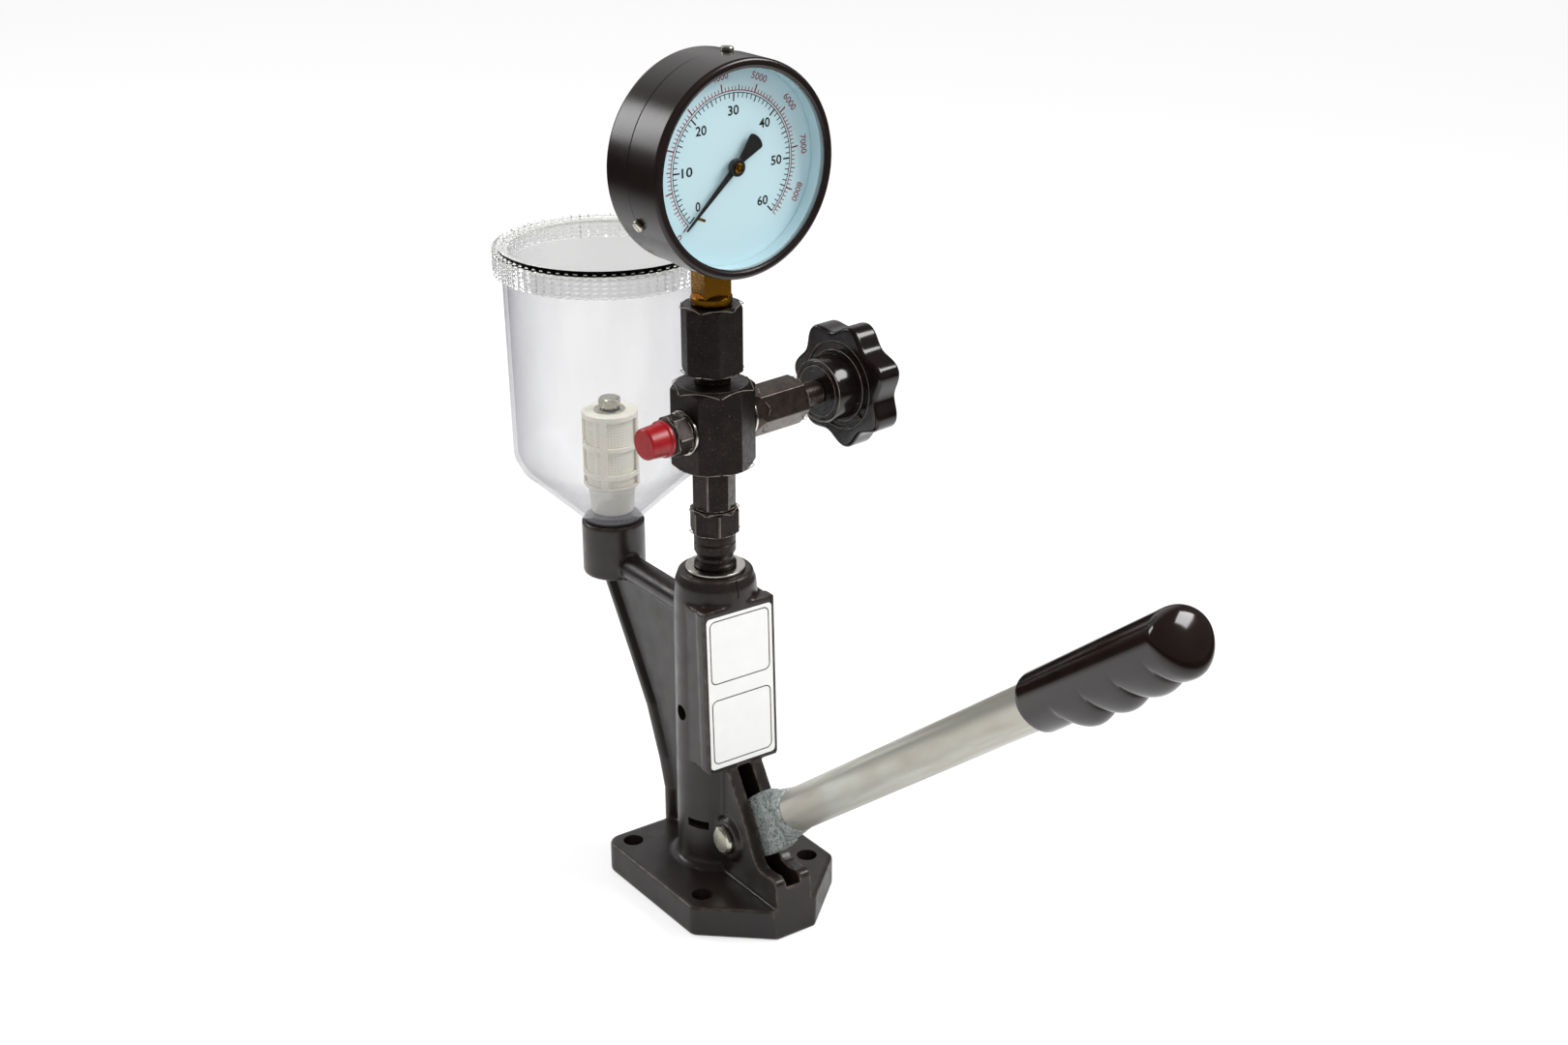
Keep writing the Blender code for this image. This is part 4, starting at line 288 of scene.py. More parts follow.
def finished(obj, materials, body, *replaced, slot=None, smooth=30.0):
    """Scale to metres, shade, give materials and tie to a body."""
    mesh = obj.data
    mesh.transform(Matrix.Scale(MM, 4))
    materials = materials if isinstance(materials, (list, tuple)) else [materials]
    places = [min(face.material_index, len(materials) - 1) for face in mesh.polygons]
    mesh.materials.clear()
    for one in materials:
        mesh.materials.append(one)
    mesh.polygons.foreach_set("material_index", places)
    mesh.shade_smooth()
    mesh.set_sharp_from_angle(angle=radians(smooth))
    weigh = obj.modifiers.new("Weighted", "WEIGHTED_NORMAL")
    weigh.keep_sharp = True
    settle(obj)
    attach(obj, body)
    if replaced:
        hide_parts(*replaced)
    return obj


def hexagon_bar(name, flats, low, high, chamfer, matrix, extra=(), bore=None, turn=0.0, edge=0.35):
    """Hexagon bar with turned chamfers; extra turned points may follow below the hexagon."""
    corner = flats / sqrt(3)
    shape = bmesh.new()
    turned_low = min([low] + [height for _, height in extra])
    bmesh.ops.create_cone(
        shape, cap_ends=True, segments=6, radius1=corner, radius2=corner, depth=high - turned_low + 4
    )
    bmesh.ops.translate(shape, verts=shape.verts, vec=(0, 0, (high + turned_low) / 2))
    bmesh.ops.rotate(shape, verts=shape.verts, cent=(0, 0, 0), matrix=Matrix.Rotation(turn, 3, "Z"))
    upright = [e for e in shape.edges if abs(e.verts[0].co.z - e.verts[1].co.z) > 1]
    # the upright edges are bevelled in the second, lighter material: partly rubbed blacking, partly a painted highlight
    bmesh.ops.bevel(shape, geom=upright, offset=edge, segments=3, profile=0.5, affect="EDGES", material=1)
    bar = mesh_object(name, shape, matrix)
    wide = corner + 2
    face = corner - sqrt(3) * chamfer
    drop = (wide - face) / sqrt(3)
    outer = [(face, high), (wide, high - drop), (wide, low + drop), (face, low)] + list(extra)
    if bore:
        profile = outer + list(reversed(bore))
        blank = lathe(name + "_blank", profile, matrix, ease=0.2)
    else:
        profile = [(0, high)] + outer + [(0, outer[-1][1])]
        blank = lathe(name + "_blank", profile, matrix, ease=0.2, closed=False)
    for mesh in (bar.data, blank.data):
        mesh.materials.append(None)
        mesh.materials.append(None)
    carve(bar, blank, "INTERSECT")
    spots = bar.data.vertices
    # narrow faces take the lighter edge material: partly rubbed blacking, partly a painted highlight
    for face in bar.data.polygons:
        sides = [(spots[a].co - spots[b].co).length for a, b in face.edge_keys]
        face.material_index = int(face.area / max(sides) < 0.3)
    return bar


def rubbed_lines(flats, low, high, chamfer, matrix, turn=0.0):
    """Thin light lines where a hexagon's flats meet its turned chamfers: partly rubbed blacking, partly a painted
    highlight.
    """
    half = flats / 2
    face = flats / sqrt(3) - sqrt(3) * chamfer
    lines = []
    for k in range(6):
        spin = turn + pi / 6 + k * pi / 3
        for end, way in ((high, -1), (low, 1)):
            route = []
            for i in range(13):
                across = (i / 6 - 1) * half * tan(pi / 6) * 0.93
                drop = max(hypot(half, across) - face, 0) / sqrt(3)
                x = half * cos(spin) - across * sin(spin)
                y = half * sin(spin) + across * cos(spin)
                route.append((x, y, end + way * drop))
            line = rod("edge_wear_and_highlight_line", route, 0.2, matrix, resolution=1)
            for _ in range(2):
                line.data.materials.append(None)
            for side in line.data.polygons:
                side.material_index = 1
            lines.append(line)
    return lines


# Materials


def worn(tree, name="worn"):
    """The amount of edge lightening that a piece's own attribute carries at its convex edges: partly wear, partly a
    painted highlight.
    """
    return node(tree, "ShaderNodeAttribute", attribute_name=name).outputs["Fac"]


def rough_skin(tree, shader, place, size, depth, detail=4.0, stretch=(1, 1, 1)):
    """Bump from grains of one size in millimetres."""
    spread = node(tree, "ShaderNodeMapping", {"Scale": stretch}, {"Vector": place})
    grains = node(tree, "ShaderNodeTexNoise", {"Scale": 1000 / size, "Detail": detail}, {"Vector": spread.outputs[0]})
    bump = node(
        tree,
        "ShaderNodeBump",
        {"Strength": 1.0, "Distance": depth * MM},
        {"Height": grains.outputs["Fac"]},
    )
    tree.links.new(bump.outputs[0], shader.inputs["Normal"])
    return grains.outputs["Fac"]


def patches(tree, place, size, low, high, detail=5.0, stretch=(1, 1, 1)):
    """A soft-edged mask of patches of one size in millimetres."""
    spread = node(tree, "ShaderNodeMapping", {"Scale": stretch}, {"Vector": place})
    cloud = node(tree, "ShaderNodeTexNoise", {"Scale": 1000 / size, "Detail": detail}, {"Vector": spread.outputs[0]})
    limits = {"From Min": low, "From Max": high}
    return node(tree, "ShaderNodeMapRange", limits, {"Value": cloud.outputs["Fac"]}).outputs[0]


def ranged(tree, value, low, high):
    """Spread a 0 to 1 mask over a socket's range."""
    return node(tree, "ShaderNodeMapRange", {"To Min": low, "To Max": high}, {"Value": value}).outputs[0]


def stoved_black():
    """Stoved black paint on a sand casting: satin, faintly lumpy, greyer along its convex edges, partly where handling
    thins the paint and partly as a painted highlight.
    """
    made, tree, shader, place = material("stoved black paint on casting", "#1c1615", 0.34)
    cloudy = blend_colours(tree, patches(tree, place, 26, 0.35, 0.65), "#1a1413", "#251e1c")
    # lighter colour in patches along convex edges: partly paint rubbed thin, partly a painted highlight
    rubbed = ranged(tree, patches(tree, place, 5, 0.42, 0.6), 0.15, 0.8)
    edge = node(tree, "ShaderNodeMath", links={0: worn(tree), 1: rubbed}, operation="MULTIPLY")
    mix = node(tree, "ShaderNodeMix", links={"Factor": edge.outputs[0]}, data_type="RGBA")
    tree.links.new(cloudy, mix.inputs[6])
    mix.inputs[7].default_value = linear("#75695f")
    tree.links.new(mix.outputs[2], shader.inputs["Base Color"])
    tree.links.new(ranged(tree, patches(tree, place, 9, 0.3, 0.7), 0.27, 0.40), shader.inputs["Roughness"])
    rough_skin(tree, shader, place, 1.3, 0.03)
    return made


def black_oxide(name, dark, light, wear, roughness=(0.28, 0.46), metallic=0.75):
    """Hot-blacked steel: deep brown black, oily sheen, tiny bright flecks where the blacking is rubbed."""
    made, tree, shader, place = material(name, dark, 0.36, metallic)
    cloudy = blend_colours(tree, patches(tree, place, 7, 0.3, 0.7), dark, light)
    flecks = patches(tree, place, 0.55, 0.66 - wear, 0.74 - wear, 3.0)
    mix = node(tree, "ShaderNodeMix", links={"Factor": flecks}, data_type="RGBA")
    tree.links.new(cloudy, mix.inputs[6])
    mix.inputs[7].default_value = linear("#8d837b")
    tree.links.new(mix.outputs[2], shader.inputs["Base Color"])
    tree.links.new(ranged(tree, patches(tree, place, 3, 0.3, 0.7), *roughness), shader.inputs["Roughness"])
    rough_skin(tree, shader, place, 0.5, 0.006)
    return made


def bright_metal(name, colour, second, roughness, grain, stretch=(1, 1, 1), metallic=1.0):
    """A bare or plated metal whose fine marks run one way."""
    made, tree, shader, place = material(name, colour, roughness, metallic)
    marks = patches(tree, place, grain, 0.3, 0.7, 6.0, stretch)
    tree.links.new(blend_colours(tree, marks, colour, second), shader.inputs["Base Color"])
    low, high = 0.8 * roughness, 1.25 * roughness
    tree.links.new(ranged(tree, marks, low, high), shader.inputs["Roughness"])
    rough_skin(tree, shader, place, grain, 0.010, 6.0, stretch)
    return made


def galvanised():
    """Hot-dip zinc on a forging: grey green spangle, pitted, with chalky spots."""
    made, tree, shader, place = material("galvanised forging", "#93a1a2", 0.5, 0.4)
    cells = node(tree, "ShaderNodeTexVoronoi", {"Scale": 1000 / 1.9}, {"Vector": place})
    spangle = blend_colours(tree, cells.outputs["Color"], "#7f8786", "#c6ccc8")
    spots = patches(tree, place, 1.1, 0.50, 0.66)
    mix = node(tree, "ShaderNodeMix", links={"Factor": spots}, data_type="RGBA")
    tree.links.new(spangle, mix.inputs[6])
    mix.inputs[7].default_value = linear("#434b4c")
    tree.links.new(mix.outputs[2], shader.inputs["Base Color"])
    tree.links.new(ranged(tree, spots, 0.40, 0.66), shader.inputs["Roughness"])
    rough_skin(tree, shader, place, 1.2, 0.14)
    return made


def moulded(name, colour, second, roughness, size, depth, **sockets):
    """A moulded plastic or rubber with a slight cloud in its colour and its own skin."""
    made, tree, shader, place = material(name, colour, roughness, 0.0, **sockets)
    cloud = patches(tree, place, size, 0.3, 0.7)
    tree.links.new(blend_colours(tree, cloud, colour, second), shader.inputs["Base Color"])
    tree.links.new(ranged(tree, cloud, 0.95 * roughness, 1.07 * roughness), shader.inputs["Roughness"])
    rough_skin(tree, shader, place, 0.8 * size, depth, 2.0)
    return made


def printed(name, colour):
    """Screen-printing ink: flat, a little uneven at its grain."""
    made, tree, shader, place = material(name, colour, 0.55)
    grain = patches(tree, place, 0.25, 0.2, 0.8)
    tree.links.new(ranged(tree, grain, 0.45, 0.65), shader.inputs["Roughness"])
    return made


def dial_enamel():
    """Pale blue dial: sprayed enamel with a fine speckle."""
    made, tree, shader, place = material("pale blue dial enamel", "#c9e7ee", 0.5)
    speckle = patches(tree, place, 0.4, 0.2, 0.8)
    tree.links.new(blend_colours(tree, speckle, "#bfdde5", "#cbe4ea"), shader.inputs["Base Color"])
    return made


def clear_moulding(name, colour, roughness, haze):
    """Clear acrylic: sharp, with a faint milky haze and flow lines; its IOR is lowered to keep a thin rim light."""
    made, tree, shader, place = material(name, colour, roughness, 0.0, IOR=1.24)
    shader.inputs["Transmission Weight"].default_value = 1.0
    flow = patches(tree, place, 30, 0.3, 0.7, 3.0, (1, 1, 0.25))
    tree.links.new(ranged(tree, flow, roughness, roughness + haze), shader.inputs["Roughness"])
    return made


def thin_acrylic():
    """Thin clear acrylic wall: milky from the front, grey and glossy at a glancing angle, with faint flow lines; the
    grey is a faint tint plus a painted shade that thickens toward glancing angles for the dark rims of a clear wall.
    """
    made, tree, shader, place = material("clear acrylic bowl", "#b4b4bc", 0.07)
    # opacity of the grey film rises toward glancing angles: painted shade standing in for the wall's darker rims
    slant = node(tree, "ShaderNodeLayerWeight", {"Blend": 0.45}).outputs["Facing"]
    steep = node(tree, "ShaderNodeMath", {1: 2.2}, {0: slant}, operation="POWER")
    flow = ranged(tree, patches(tree, place, 26, 0.3, 0.7, 3.0, (1, 1, 0.3)), 0.075, 0.13)
    body = node(tree, "ShaderNodeMath", {1: 0.6}, {0: steep.outputs[0]}, operation="MULTIPLY")
    film = node(tree, "ShaderNodeMath", links={0: body.outputs[0], 1: flow})
    tree.links.new(film.outputs[0], shader.inputs["Alpha"])
    return made


def window_glass():
    """Flat window glass: clear from the front, a mirror at a glancing angle, faint smears."""
    made, tree, shader, place = material("flat window glass", "#ffffff", 0.03, 1.0)
    tree.links.new(ranged(tree, patches(tree, place, 18, 0.3, 0.7), 0.02, 0.07), shader.inputs["Roughness"])
    slant = node(tree, "ShaderNodeLayerWeight", {"Blend": 0.5}).outputs["Facing"]
    steep = node(tree, "ShaderNodeMath", {1: 5.0}, {0: slant}, operation="POWER")
    tree.links.new(ranged(tree, steep.outputs[0], 0.012, 0.9), shader.inputs["Alpha"])
    return made


def woven_gauze():
    """Fine nylon gauze: crossed threads a fifth of a millimetre apart, drawn at 0.8 mm to show."""
    made, tree, shader, place = material("woven nylon gauze", "#efecdf", 0.6)
    threads = []
    for turn in ((0, 0, 0), (0, radians(90), 0)):
        spun = node(tree, "ShaderNodeMapping", {"Rotation": turn}, {"Vector": place})
        weave = node(tree, "ShaderNodeTexWave", {"Scale": 1000 / 0.8 / 2 / pi}, {"Vector": spun.outputs[0]})
        threads.append(weave.outputs["Fac"])
    crossed = node(tree, "ShaderNodeMath", links={0: threads[0], 1: threads[1]}, operation="MAXIMUM")
    tree.links.new(blend_colours(tree, crossed.outputs[0], "#e0dcc9", "#f6f3e6"), shader.inputs["Base Color"])
    bump = node(tree, "ShaderNodeBump", {"Distance": 0.1 * MM}, {"Height": crossed.outputs[0]})
    tree.links.new(bump.outputs[0], shader.inputs["Normal"])
    return made


CASTING = stoved_black()
OXIDE = black_oxide("black oxide steel", "#1f1a19", "#2d2624", 0.0)
# the lighter edge materials stand for rubbed blacking and also carry a painted highlight along the edges
OXIDE_EDGE = black_oxide("black oxide steel, rubbed edge and painted highlight", "#5d544e", "#a39a91", 0.08, (0.24, 0.40), 0.2)
OXIDE_WARM = black_oxide("black oxide steel, brown", "#3b322d", "#514740", 0.0, (0.2, 0.34))
OXIDE_WARM_EDGE = black_oxide("black oxide steel, brown, rubbed edge and painted highlight", "#6d6258", "#b9afa4", 0.08, (0.24, 0.40), 0.35)
GROUND = bright_metal("ground steel", "#d6d2ca", "#bdb8af", 0.22, 0.5, (1, 1, 6))
SPRING = bright_metal("oiled spring steel", "#7d7a76", "#5c5955", 0.30, 0.6)
ZINC_TUBE = bright_metal("zinc plated tube", "#c1c4bb", "#b3ada0", 0.33, 2.4, (1, 0.06, 0.06), 0.7)
ZINC = bright_metal("zinc plated steel", "#d3d2c4", "#bdbba9", 0.28, 0.8)
BRASS = bright_metal("turned brass", "#ad7a24", "#8f621a", 0.27, 0.45, (0.15, 0.15, 1))
COPPER = bright_metal("drawn copper alloy", "#b8794f", "#a5683f", 0.33, 0.7)
FORGING = galvanised()
PHENOLIC = moulded("black phenolic knob", "#151010", "#1d1615", 0.13, 9, 0.002)
# pale colour for thin rings on the knob's edges: painted highlights where these edges catch the light
KNOB_HIGHLIGHT_PAINT = moulded("painted highlight on knob edges", "#8c837d", "#5f5853", 0.3, 4, 0.002)
VINYL = moulded("dipped black vinyl grip", "#1a1110", "#211715", 0.12, 12, 0.004)
ENAMEL = moulded("satin black case enamel", "#1c1514", "#221a18", 0.24, 14, 0.002)
RUBBER = moulded("black rubber", "#1d1b1b", "#262424", 0.65, 1.5, 0.02)
RED = moulded("soft red plastic", "#a30c15", "#8d0911", 0.34, 4, 0.006)
IVORY = moulded("ivory nylon", "#fbf8ec", "#f4f0e0", 0.42, 3, 0.01)
IVORY.node_tree.nodes["Principled BSDF"].inputs["Subsurface Weight"].default_value = 0.25
IVORY.node_tree.nodes["Principled BSDF"].inputs["Subsurface Scale"].default_value = 1.2 * MM
GAUZE = woven_gauze()
ACRYLIC = thin_acrylic()
ACRYLIC_LID = clear_moulding("clear acrylic lid", "#f9f9f8", 0.0, 0.03)
GLASS = window_glass()
DIAL = dial_enamel()
BLACK_INK = printed("black dial ink", "#0f0e0e")
RED_INK = printed("red dial ink", "#8e1a20")
GREY_INK = printed("grey frame ink", "#4a4849")
POINTER = moulded("black pointer paint", "#151312", "#1b1918", 0.45, 0.8, 0.008)
LABEL = moulded("white vinyl label", "#fdfdfc", "#f9f9f7", 0.38, 6, 0.01)


# Repeats, ticks and print


def copies_tree():
    """Geometry Nodes that turn a piece about Z a number of times at an even step."""
    tree = bpy.data.node_groups.new("copies around an axis", "GeometryNodeTree")
    face = tree.interface
    face.new_socket("Geometry", in_out="INPUT", socket_type="NodeSocketGeometry")
    face.new_socket("Count", in_out="INPUT", socket_type="NodeSocketInt")
    face.new_socket("First Angle", in_out="INPUT", socket_type="NodeSocketFloat")
    face.new_socket("Step Angle", in_out="INPUT", socket_type="NodeSocketFloat")
    face.new_socket("Material", in_out="INPUT", socket_type="NodeSocketMaterial")
    face.new_socket("Geometry", in_out="OUTPUT", socket_type="NodeSocketGeometry")
    given = node(tree, "NodeGroupInput").outputs
    spots = node(tree, "GeometryNodeMeshLine", {"Offset": (0, 0, 0)}, {"Count": given["Count"]})
    place = node(tree, "GeometryNodeInputIndex").outputs[0]
    turned = node(tree, "ShaderNodeMath", links={0: place, 1: given["Step Angle"]}, operation="MULTIPLY")
    angle = node(tree, "ShaderNodeMath", links={0: turned.outputs[0], 1: given["First Angle"]})
    spin = node(tree, "ShaderNodeCombineXYZ", links={"Z": angle.outputs[0]})
    spin = node(tree, "FunctionNodeEulerToRotation", links={0: spin.outputs[0]})
    links = {"Points": spots.outputs[0], "Instance": given["Geometry"], "Rotation": spin.outputs[0]}
    copies = node(tree, "GeometryNodeInstanceOnPoints", links=links)
    real = node(tree, "GeometryNodeRealizeInstances", links={0: copies.outputs[0]})
    dressed = node(tree, "GeometryNodeSetMaterial", links={0: real.outputs[0], "Material": given["Material"]})
    out = node(tree, "NodeGroupOutput")
    tree.links.new(dressed.outputs[0], out.inputs[0])
    return tree


COPIES = copies_tree()


def copies(obj, count, first, step, finish):
    """Repeat an object about the Z axis and leave a plain mesh."""
    change = obj.modifiers.new("Copies", "NODES")
    change.node_group = COPIES
    values = {"Count": count, "First Angle": first, "Step Angle": step, "Material": finish}
    for item in COPIES.interface.items_tree:
        if item.in_out == "INPUT" and item.name in values:
            change[item.identifier] = values[item.name]
    return settle(obj)


def placed(obj, matrix):
    """Move an object's mesh to its axes."""
    obj.data.transform(matrix)
    return obj


def lettering(text, height, width, matrix, weight=0.0):
    """Plain figures as a flat mesh, centred, of a real height and width."""
    curve = bpy.data.curves.new("figures", "FONT")
    curve.body = text
    curve.offset = weight
    curve.resolution_u = 3
    holder = bpy.data.objects.new("figures", curve)
    bpy.context.scene.collection.objects.link(holder)
    bpy.context.view_layer.update()
    graph = bpy.context.evaluated_depsgraph_get()
    mesh = bpy.data.meshes.new_from_object(holder.evaluated_get(graph))
    bpy.data.objects.remove(holder, do_unlink=True)
    spots = [v.co for v in mesh.vertices]
    low = Vector(min(c[k] for c in spots) for k in range(3))
    high = Vector(max(c[k] for c in spots) for k in range(3))
    size = high - low
    mesh.transform(Matrix.Translation(-(low + high) / 2))
    mesh.transform(Matrix.Diagonal((width / size.x, height / size.y, 1, 1)))
    mesh.transform(matrix)
    made = bpy.data.objects.new("figures", mesh)
    bpy.context.scene.collection.objects.link(made)
    return made


def mark_wear(obj, low=12.0, high=45.0, spread=2):
    """Store how convex each point's edges are, as the attribute that the lighter edge colour reads: partly wear, partly
    a painted highlight.
    """
    shape = bmesh.new()
    shape.from_mesh(obj.data)
    layer = shape.verts.layers.float.new("worn")
    for vertex in shape.verts:
        turn = max((edge.calc_face_angle_signed(0.0) for edge in vertex.link_edges), default=0.0)
        vertex[layer] = min(max((turn - radians(low)) / radians(high - low), 0.0), 1.0)
    for _ in range(spread):
        values = [v[layer] for v in shape.verts]
        shape.verts.index_update()
        for vertex in shape.verts:
            near = [values[e.other_vert(vertex).index] for e in vertex.link_edges]
            vertex[layer] = (values[vertex.index] + sum(near) / len(near)) / 2 if near else values[vertex.index]
    shape.to_mesh(obj.data)
    shape.free()
    return obj


def rounded(corners, steps=5):
    """An outline whose corners (x, y, radius) are rounded off."""
    outline = []
    for i, (x, y, radius) in enumerate(corners):
        here = Vector((x, y))
        back = (Vector(corners[i - 1][:2]) - here).normalized()
        ahead = (Vector(corners[(i + 1) % len(corners)][:2]) - here).normalized()
        half = back.angle(ahead) / 2
        centre = here + (back + ahead).normalized() * radius / sin(half)
        first = here + back * radius / tan(half) - centre
        last = here + ahead * radius / tan(half) - centre
        start = atan2(first.y, first.x)
        turn = (atan2(last.y, last.x) - start + pi) % (2 * pi) - pi
        outline += arc(centre, radius, start, start + turn, steps)
    return outline


# Cast stand


def make_stand():
    corners = [
        (43.7, 42.5, 8.0),
        (-43.7, 42.5, 8.0),
        (-43.7, -40.0, 6.0),
        (-11.5, -68.4, 2.0),
        (11.5, -68.4, 2.0),
        (43.7, -40.0, 6.0),
    ]
    shells = [plate("foot_plate", rounded(corners), 0, 16.5, edge=1.3)]
    top = 175.8
    drop = 25.8
    shares = ((0.78, 0.0), (0.86, 0.01), (0.882, 0.035), (0.895, 0.09), (0.946, 0.19), (0.984, 0.53), (1.0, 1.0))
    column = [(0, top)] + [(r * 21.15, top - d * drop) for r, d in shares]
    flare = ((0.0, 1.0), (0.14, 0.5), (0.5, 0.18), (1.0, 0.04))
    column += [(21.15 + r * 3.3, 16.5 + d * 5) for r, d in flare] + [(24.45, 8.25), (0, 8.25)]
    shells.append(lathe("column", column, ease=0, closed=False))
    frame_outline = [(-20.4, 163.2), (-23.3, 76.0), (-16.5, 76.0), (-13.6, 163.2)]
    shells.append(plate("box_frame", frame_outline, -21.3, 21.3, SIDE, edge=1.2))
    waist = [(-19.2, 162.5), (-22.1, 76.7), (-4.0, 76.7), (-4.0, 162.5)]
    shells.append(plate("box_waist", waist, -20.6, 20.6, SIDE))
    slant = 2.6 / 29.8
    nose_foot = (-68.4 + 8.25 * slant, 8.25)
    rib = [(0, 8.25), nose_foot, (-65.9, 29.2), (-64.6, 31.2), (-62.0, 32.2), (-57.0, 31.7), (-52.0, 31.7)]
    rib += [(-48.8, 33.6), (-46.2, 37.0), (-44.0, 41.5), (-41.8, 47.5), (-38.6, 53.2), (-33.6, 61.0), (-24.2, 76.0)]
    rib += [(-19.9, 79.4), (0, 79.4)]
    shells.append(plate("near_rib", rib, -10.6, -4.0, SIDE))
    shells.append(plate("far_rib", rib, 4.0, 10.6, SIDE))
    bridge = [(0, 8.25), nose_foot, (-66.0, 27.3), (-60.0, 24.0), (-49.9, 20.5), (0, 20.5)]
    shells.append(plate("slot_bridge", bridge, -9.0, 9.0, SIDE))
    bosses = [(0, 13.2), (9.2, 13.2), (10.6, 12.7), (11.3, 11.6), (11.5, 10.2)]
    bosses += [(r, -h) for r, h in reversed(bosses)]
    shells.append(lathe("pivot_bosses", bosses, PIVOT, ease=0, closed=False))
    along_arm = Matrix.Translation((0, 0, 147.2)) @ Matrix.Rotation(-pi / 2, 4, "X")
    shells.append(lathe("arm", [(0, 96.4), (6.75, 96.4), (6.75, 10), (0, 10)], along_arm, ease=0, closed=False))
    boss = [(0, 169.9), (15.5, 169.9), (16.5, 168.9), (16.5, 141.0), (15.5, 140.0), (0, 140.0)]
    shells.append(lathe("fuel_boss", boss, BOWL, ease=0, closed=False))
    shares = ((0, 0), (0.003, 0.218), (0.083, 0.331), (0.268, 0.52), (0.599, 0.743), (1, 1))
    route = [(42.2 + r * 61.1, 3 + d * 142) for r, d in shares]
    shells.append(rod("strut", [(0, y, z) for y, z in route], 5.2))
    web = [(10.5, 8.25), (42.2, 8.25), *route[1:], (96.4, 147.2), (10.5, 147.2)]
    shells.append(plate("web", web, -2.2, 2.2, SIDE))
    line = [(0, -21.15 * r - 0.05, top - d * drop) for r, d in ((0.86, 0.02), (0.9, 0.09), (0.946, 0.19), (0.97, 0.36))]
    nose = [(-68.4 - 2 * slant, -2), (-65.8 + 2 * slant, 31.8), (-70.4, 31.8), (-70.4, -2)]
    slot = [(0, 20.5)] + [(-r * 68.4, 20.5 + d * 7) for r, d in ((0.73, 0), (0.877, 0.5), (0.965, 1))]
    slot += [(-70.4, 27.5), (-70.4, 74.5), (0, 74.5)]
    carve(shells[0], plate("nose_cut", nose, -43.7, 43.7, SIDE))
    # the casting's convex edges are marked for the lighter edge colour: partly wear, partly a painted highlight
    stand = mark_wear(cast(fuse("cast_stand", shells), 0.8, 3, 0.55))
    bore = [(0, 177.8), (10, 177.8), (10, 120), (9, 120), (9, 20), (0, 20)]
    tools = [plate("nose_cut", nose, -43.7, 43.7, SIDE)]
    tools.append(lathe("pump_bore", bore, ease=0, closed=False, steps=64))
    tools.append(lathe("pin_hole", [(0, 15.2), (5.3, 15.2), (5.3, -15.2), (0, -15.2)], PIVOT, ease=0, closed=False))
    for tool in tools:
        carve(stand, tool)
    carve(stand, plate("clevis_slot", slot, -4.0, 4.0, SIDE))
    tools = []
    for x in (1, -1):
        for y in (1, -1):
            spot = Matrix.Translation((x * 32.4, y * 32.4, 0))
            hole = [(0, 18.5), (5.2, 18.5), (5.2, -2), (0, -2)]
            tools.append(lathe("mount_hole", hole, spot, ease=0, closed=False, steps=48))
    tilt = (23.3 - 20.4) / (163.2 - 76.0)
    recess = [(-22.8 + 1.7 * tilt, 77.7), (-19.9 - 1.7 * tilt, 161.5), (-25.3, 161.5), (-25.3, 77.7)]
    tools.append(plate("label_recess", recess, -19.6, 19.6, SIDE))
    across = Matrix.Translation((0, 1.2, 101.2)) @ Matrix.Rotation(pi / 2, 4, "Y")
    side_hole = [(0, -4.5), (4.1, -4.5), (4.1, -23.2), (0, -23.2)]
    tools.append(lathe("side_hole", side_hole, across, ease=0, closed=False, steps=40))
    spin = Matrix.Rotation(radians(-64.6 - 90), 4, "Z")
    tools.append(block("window", (4.5, -6.1, 38.9), (23.2, 6.1, 43.4), spin))
    fuel = Matrix.Translation((0, 0, 147.2)) @ Matrix.Rotation(-pi / 2, 4, "X")
    tools.append(lathe("fuel_bore", [(0, 88.4), (2.5, 88.4), (2.5, 5), (0, 5)], fuel, ease=0, closed=False, steps=24))
    drop_place = Matrix.Translation((0, 88.4, 0))
    fall = [(0, 171.9), (2, 171.9), (2, 147.2), (0, 147.2)]
    tools.append(lathe("fuel_drop", fall, drop_place, ease=0, closed=False, steps=24))
    thread = [(0, 171.9), (3.3, 171.9), (3.3, 154.0), (0, 154.0)]
    tools.append(lathe("bolt_thread", thread, BOWL, ease=0, closed=False, steps=24))
    for tool in tools:
        carve(stand, tool)
    ridge = rod("parting_line", line, 0.45, resolution=3)
    stand = fuse("cast_stand", [stand, ridge])
    finished(stand, CASTING, "stand", "pump_body", slot="coated_casting", smooth=38)

    lean = Matrix.Translation((0, -23.3 + 0.5, 76.0)) @ Matrix.Rotation(pi / 2 - tilt, 4, "X")
    card = [(19.3, 83.6, 2.0), (-19.3, 83.6, 2.0), (-19.3, 2.0, 2.0), (19.3, 2.0, 2.0)]
    label = plate("label_plate", rounded(card), 0.0, 0.30, lean, edge=0.08)
    finished(label, LABEL, "stand", slot="black_plastic")
    frames = []
    for low, high in ((48.0, 81.9), (4.6, 39.6)):
        outer = rounded([(17.6, high, 3.2), (-17.6, high, 3.2), (-17.6, low, 3.2), (17.6, low, 3.2)])
        low, high = low + 0.6, high - 0.6
        inner = rounded([(17.0, high, 2.6), (-17.0, high, 2.6), (-17.0, low, 2.6), (17.0, low, 2.6)])
        frames.append(plate("frame_line", outer, 0.30, 0.33, lean, holes=(inner,)))
    finished(fuse("label_frames", frames), GREY_INK, "stand", slot="black_plastic")


# Delivery stack and valve block


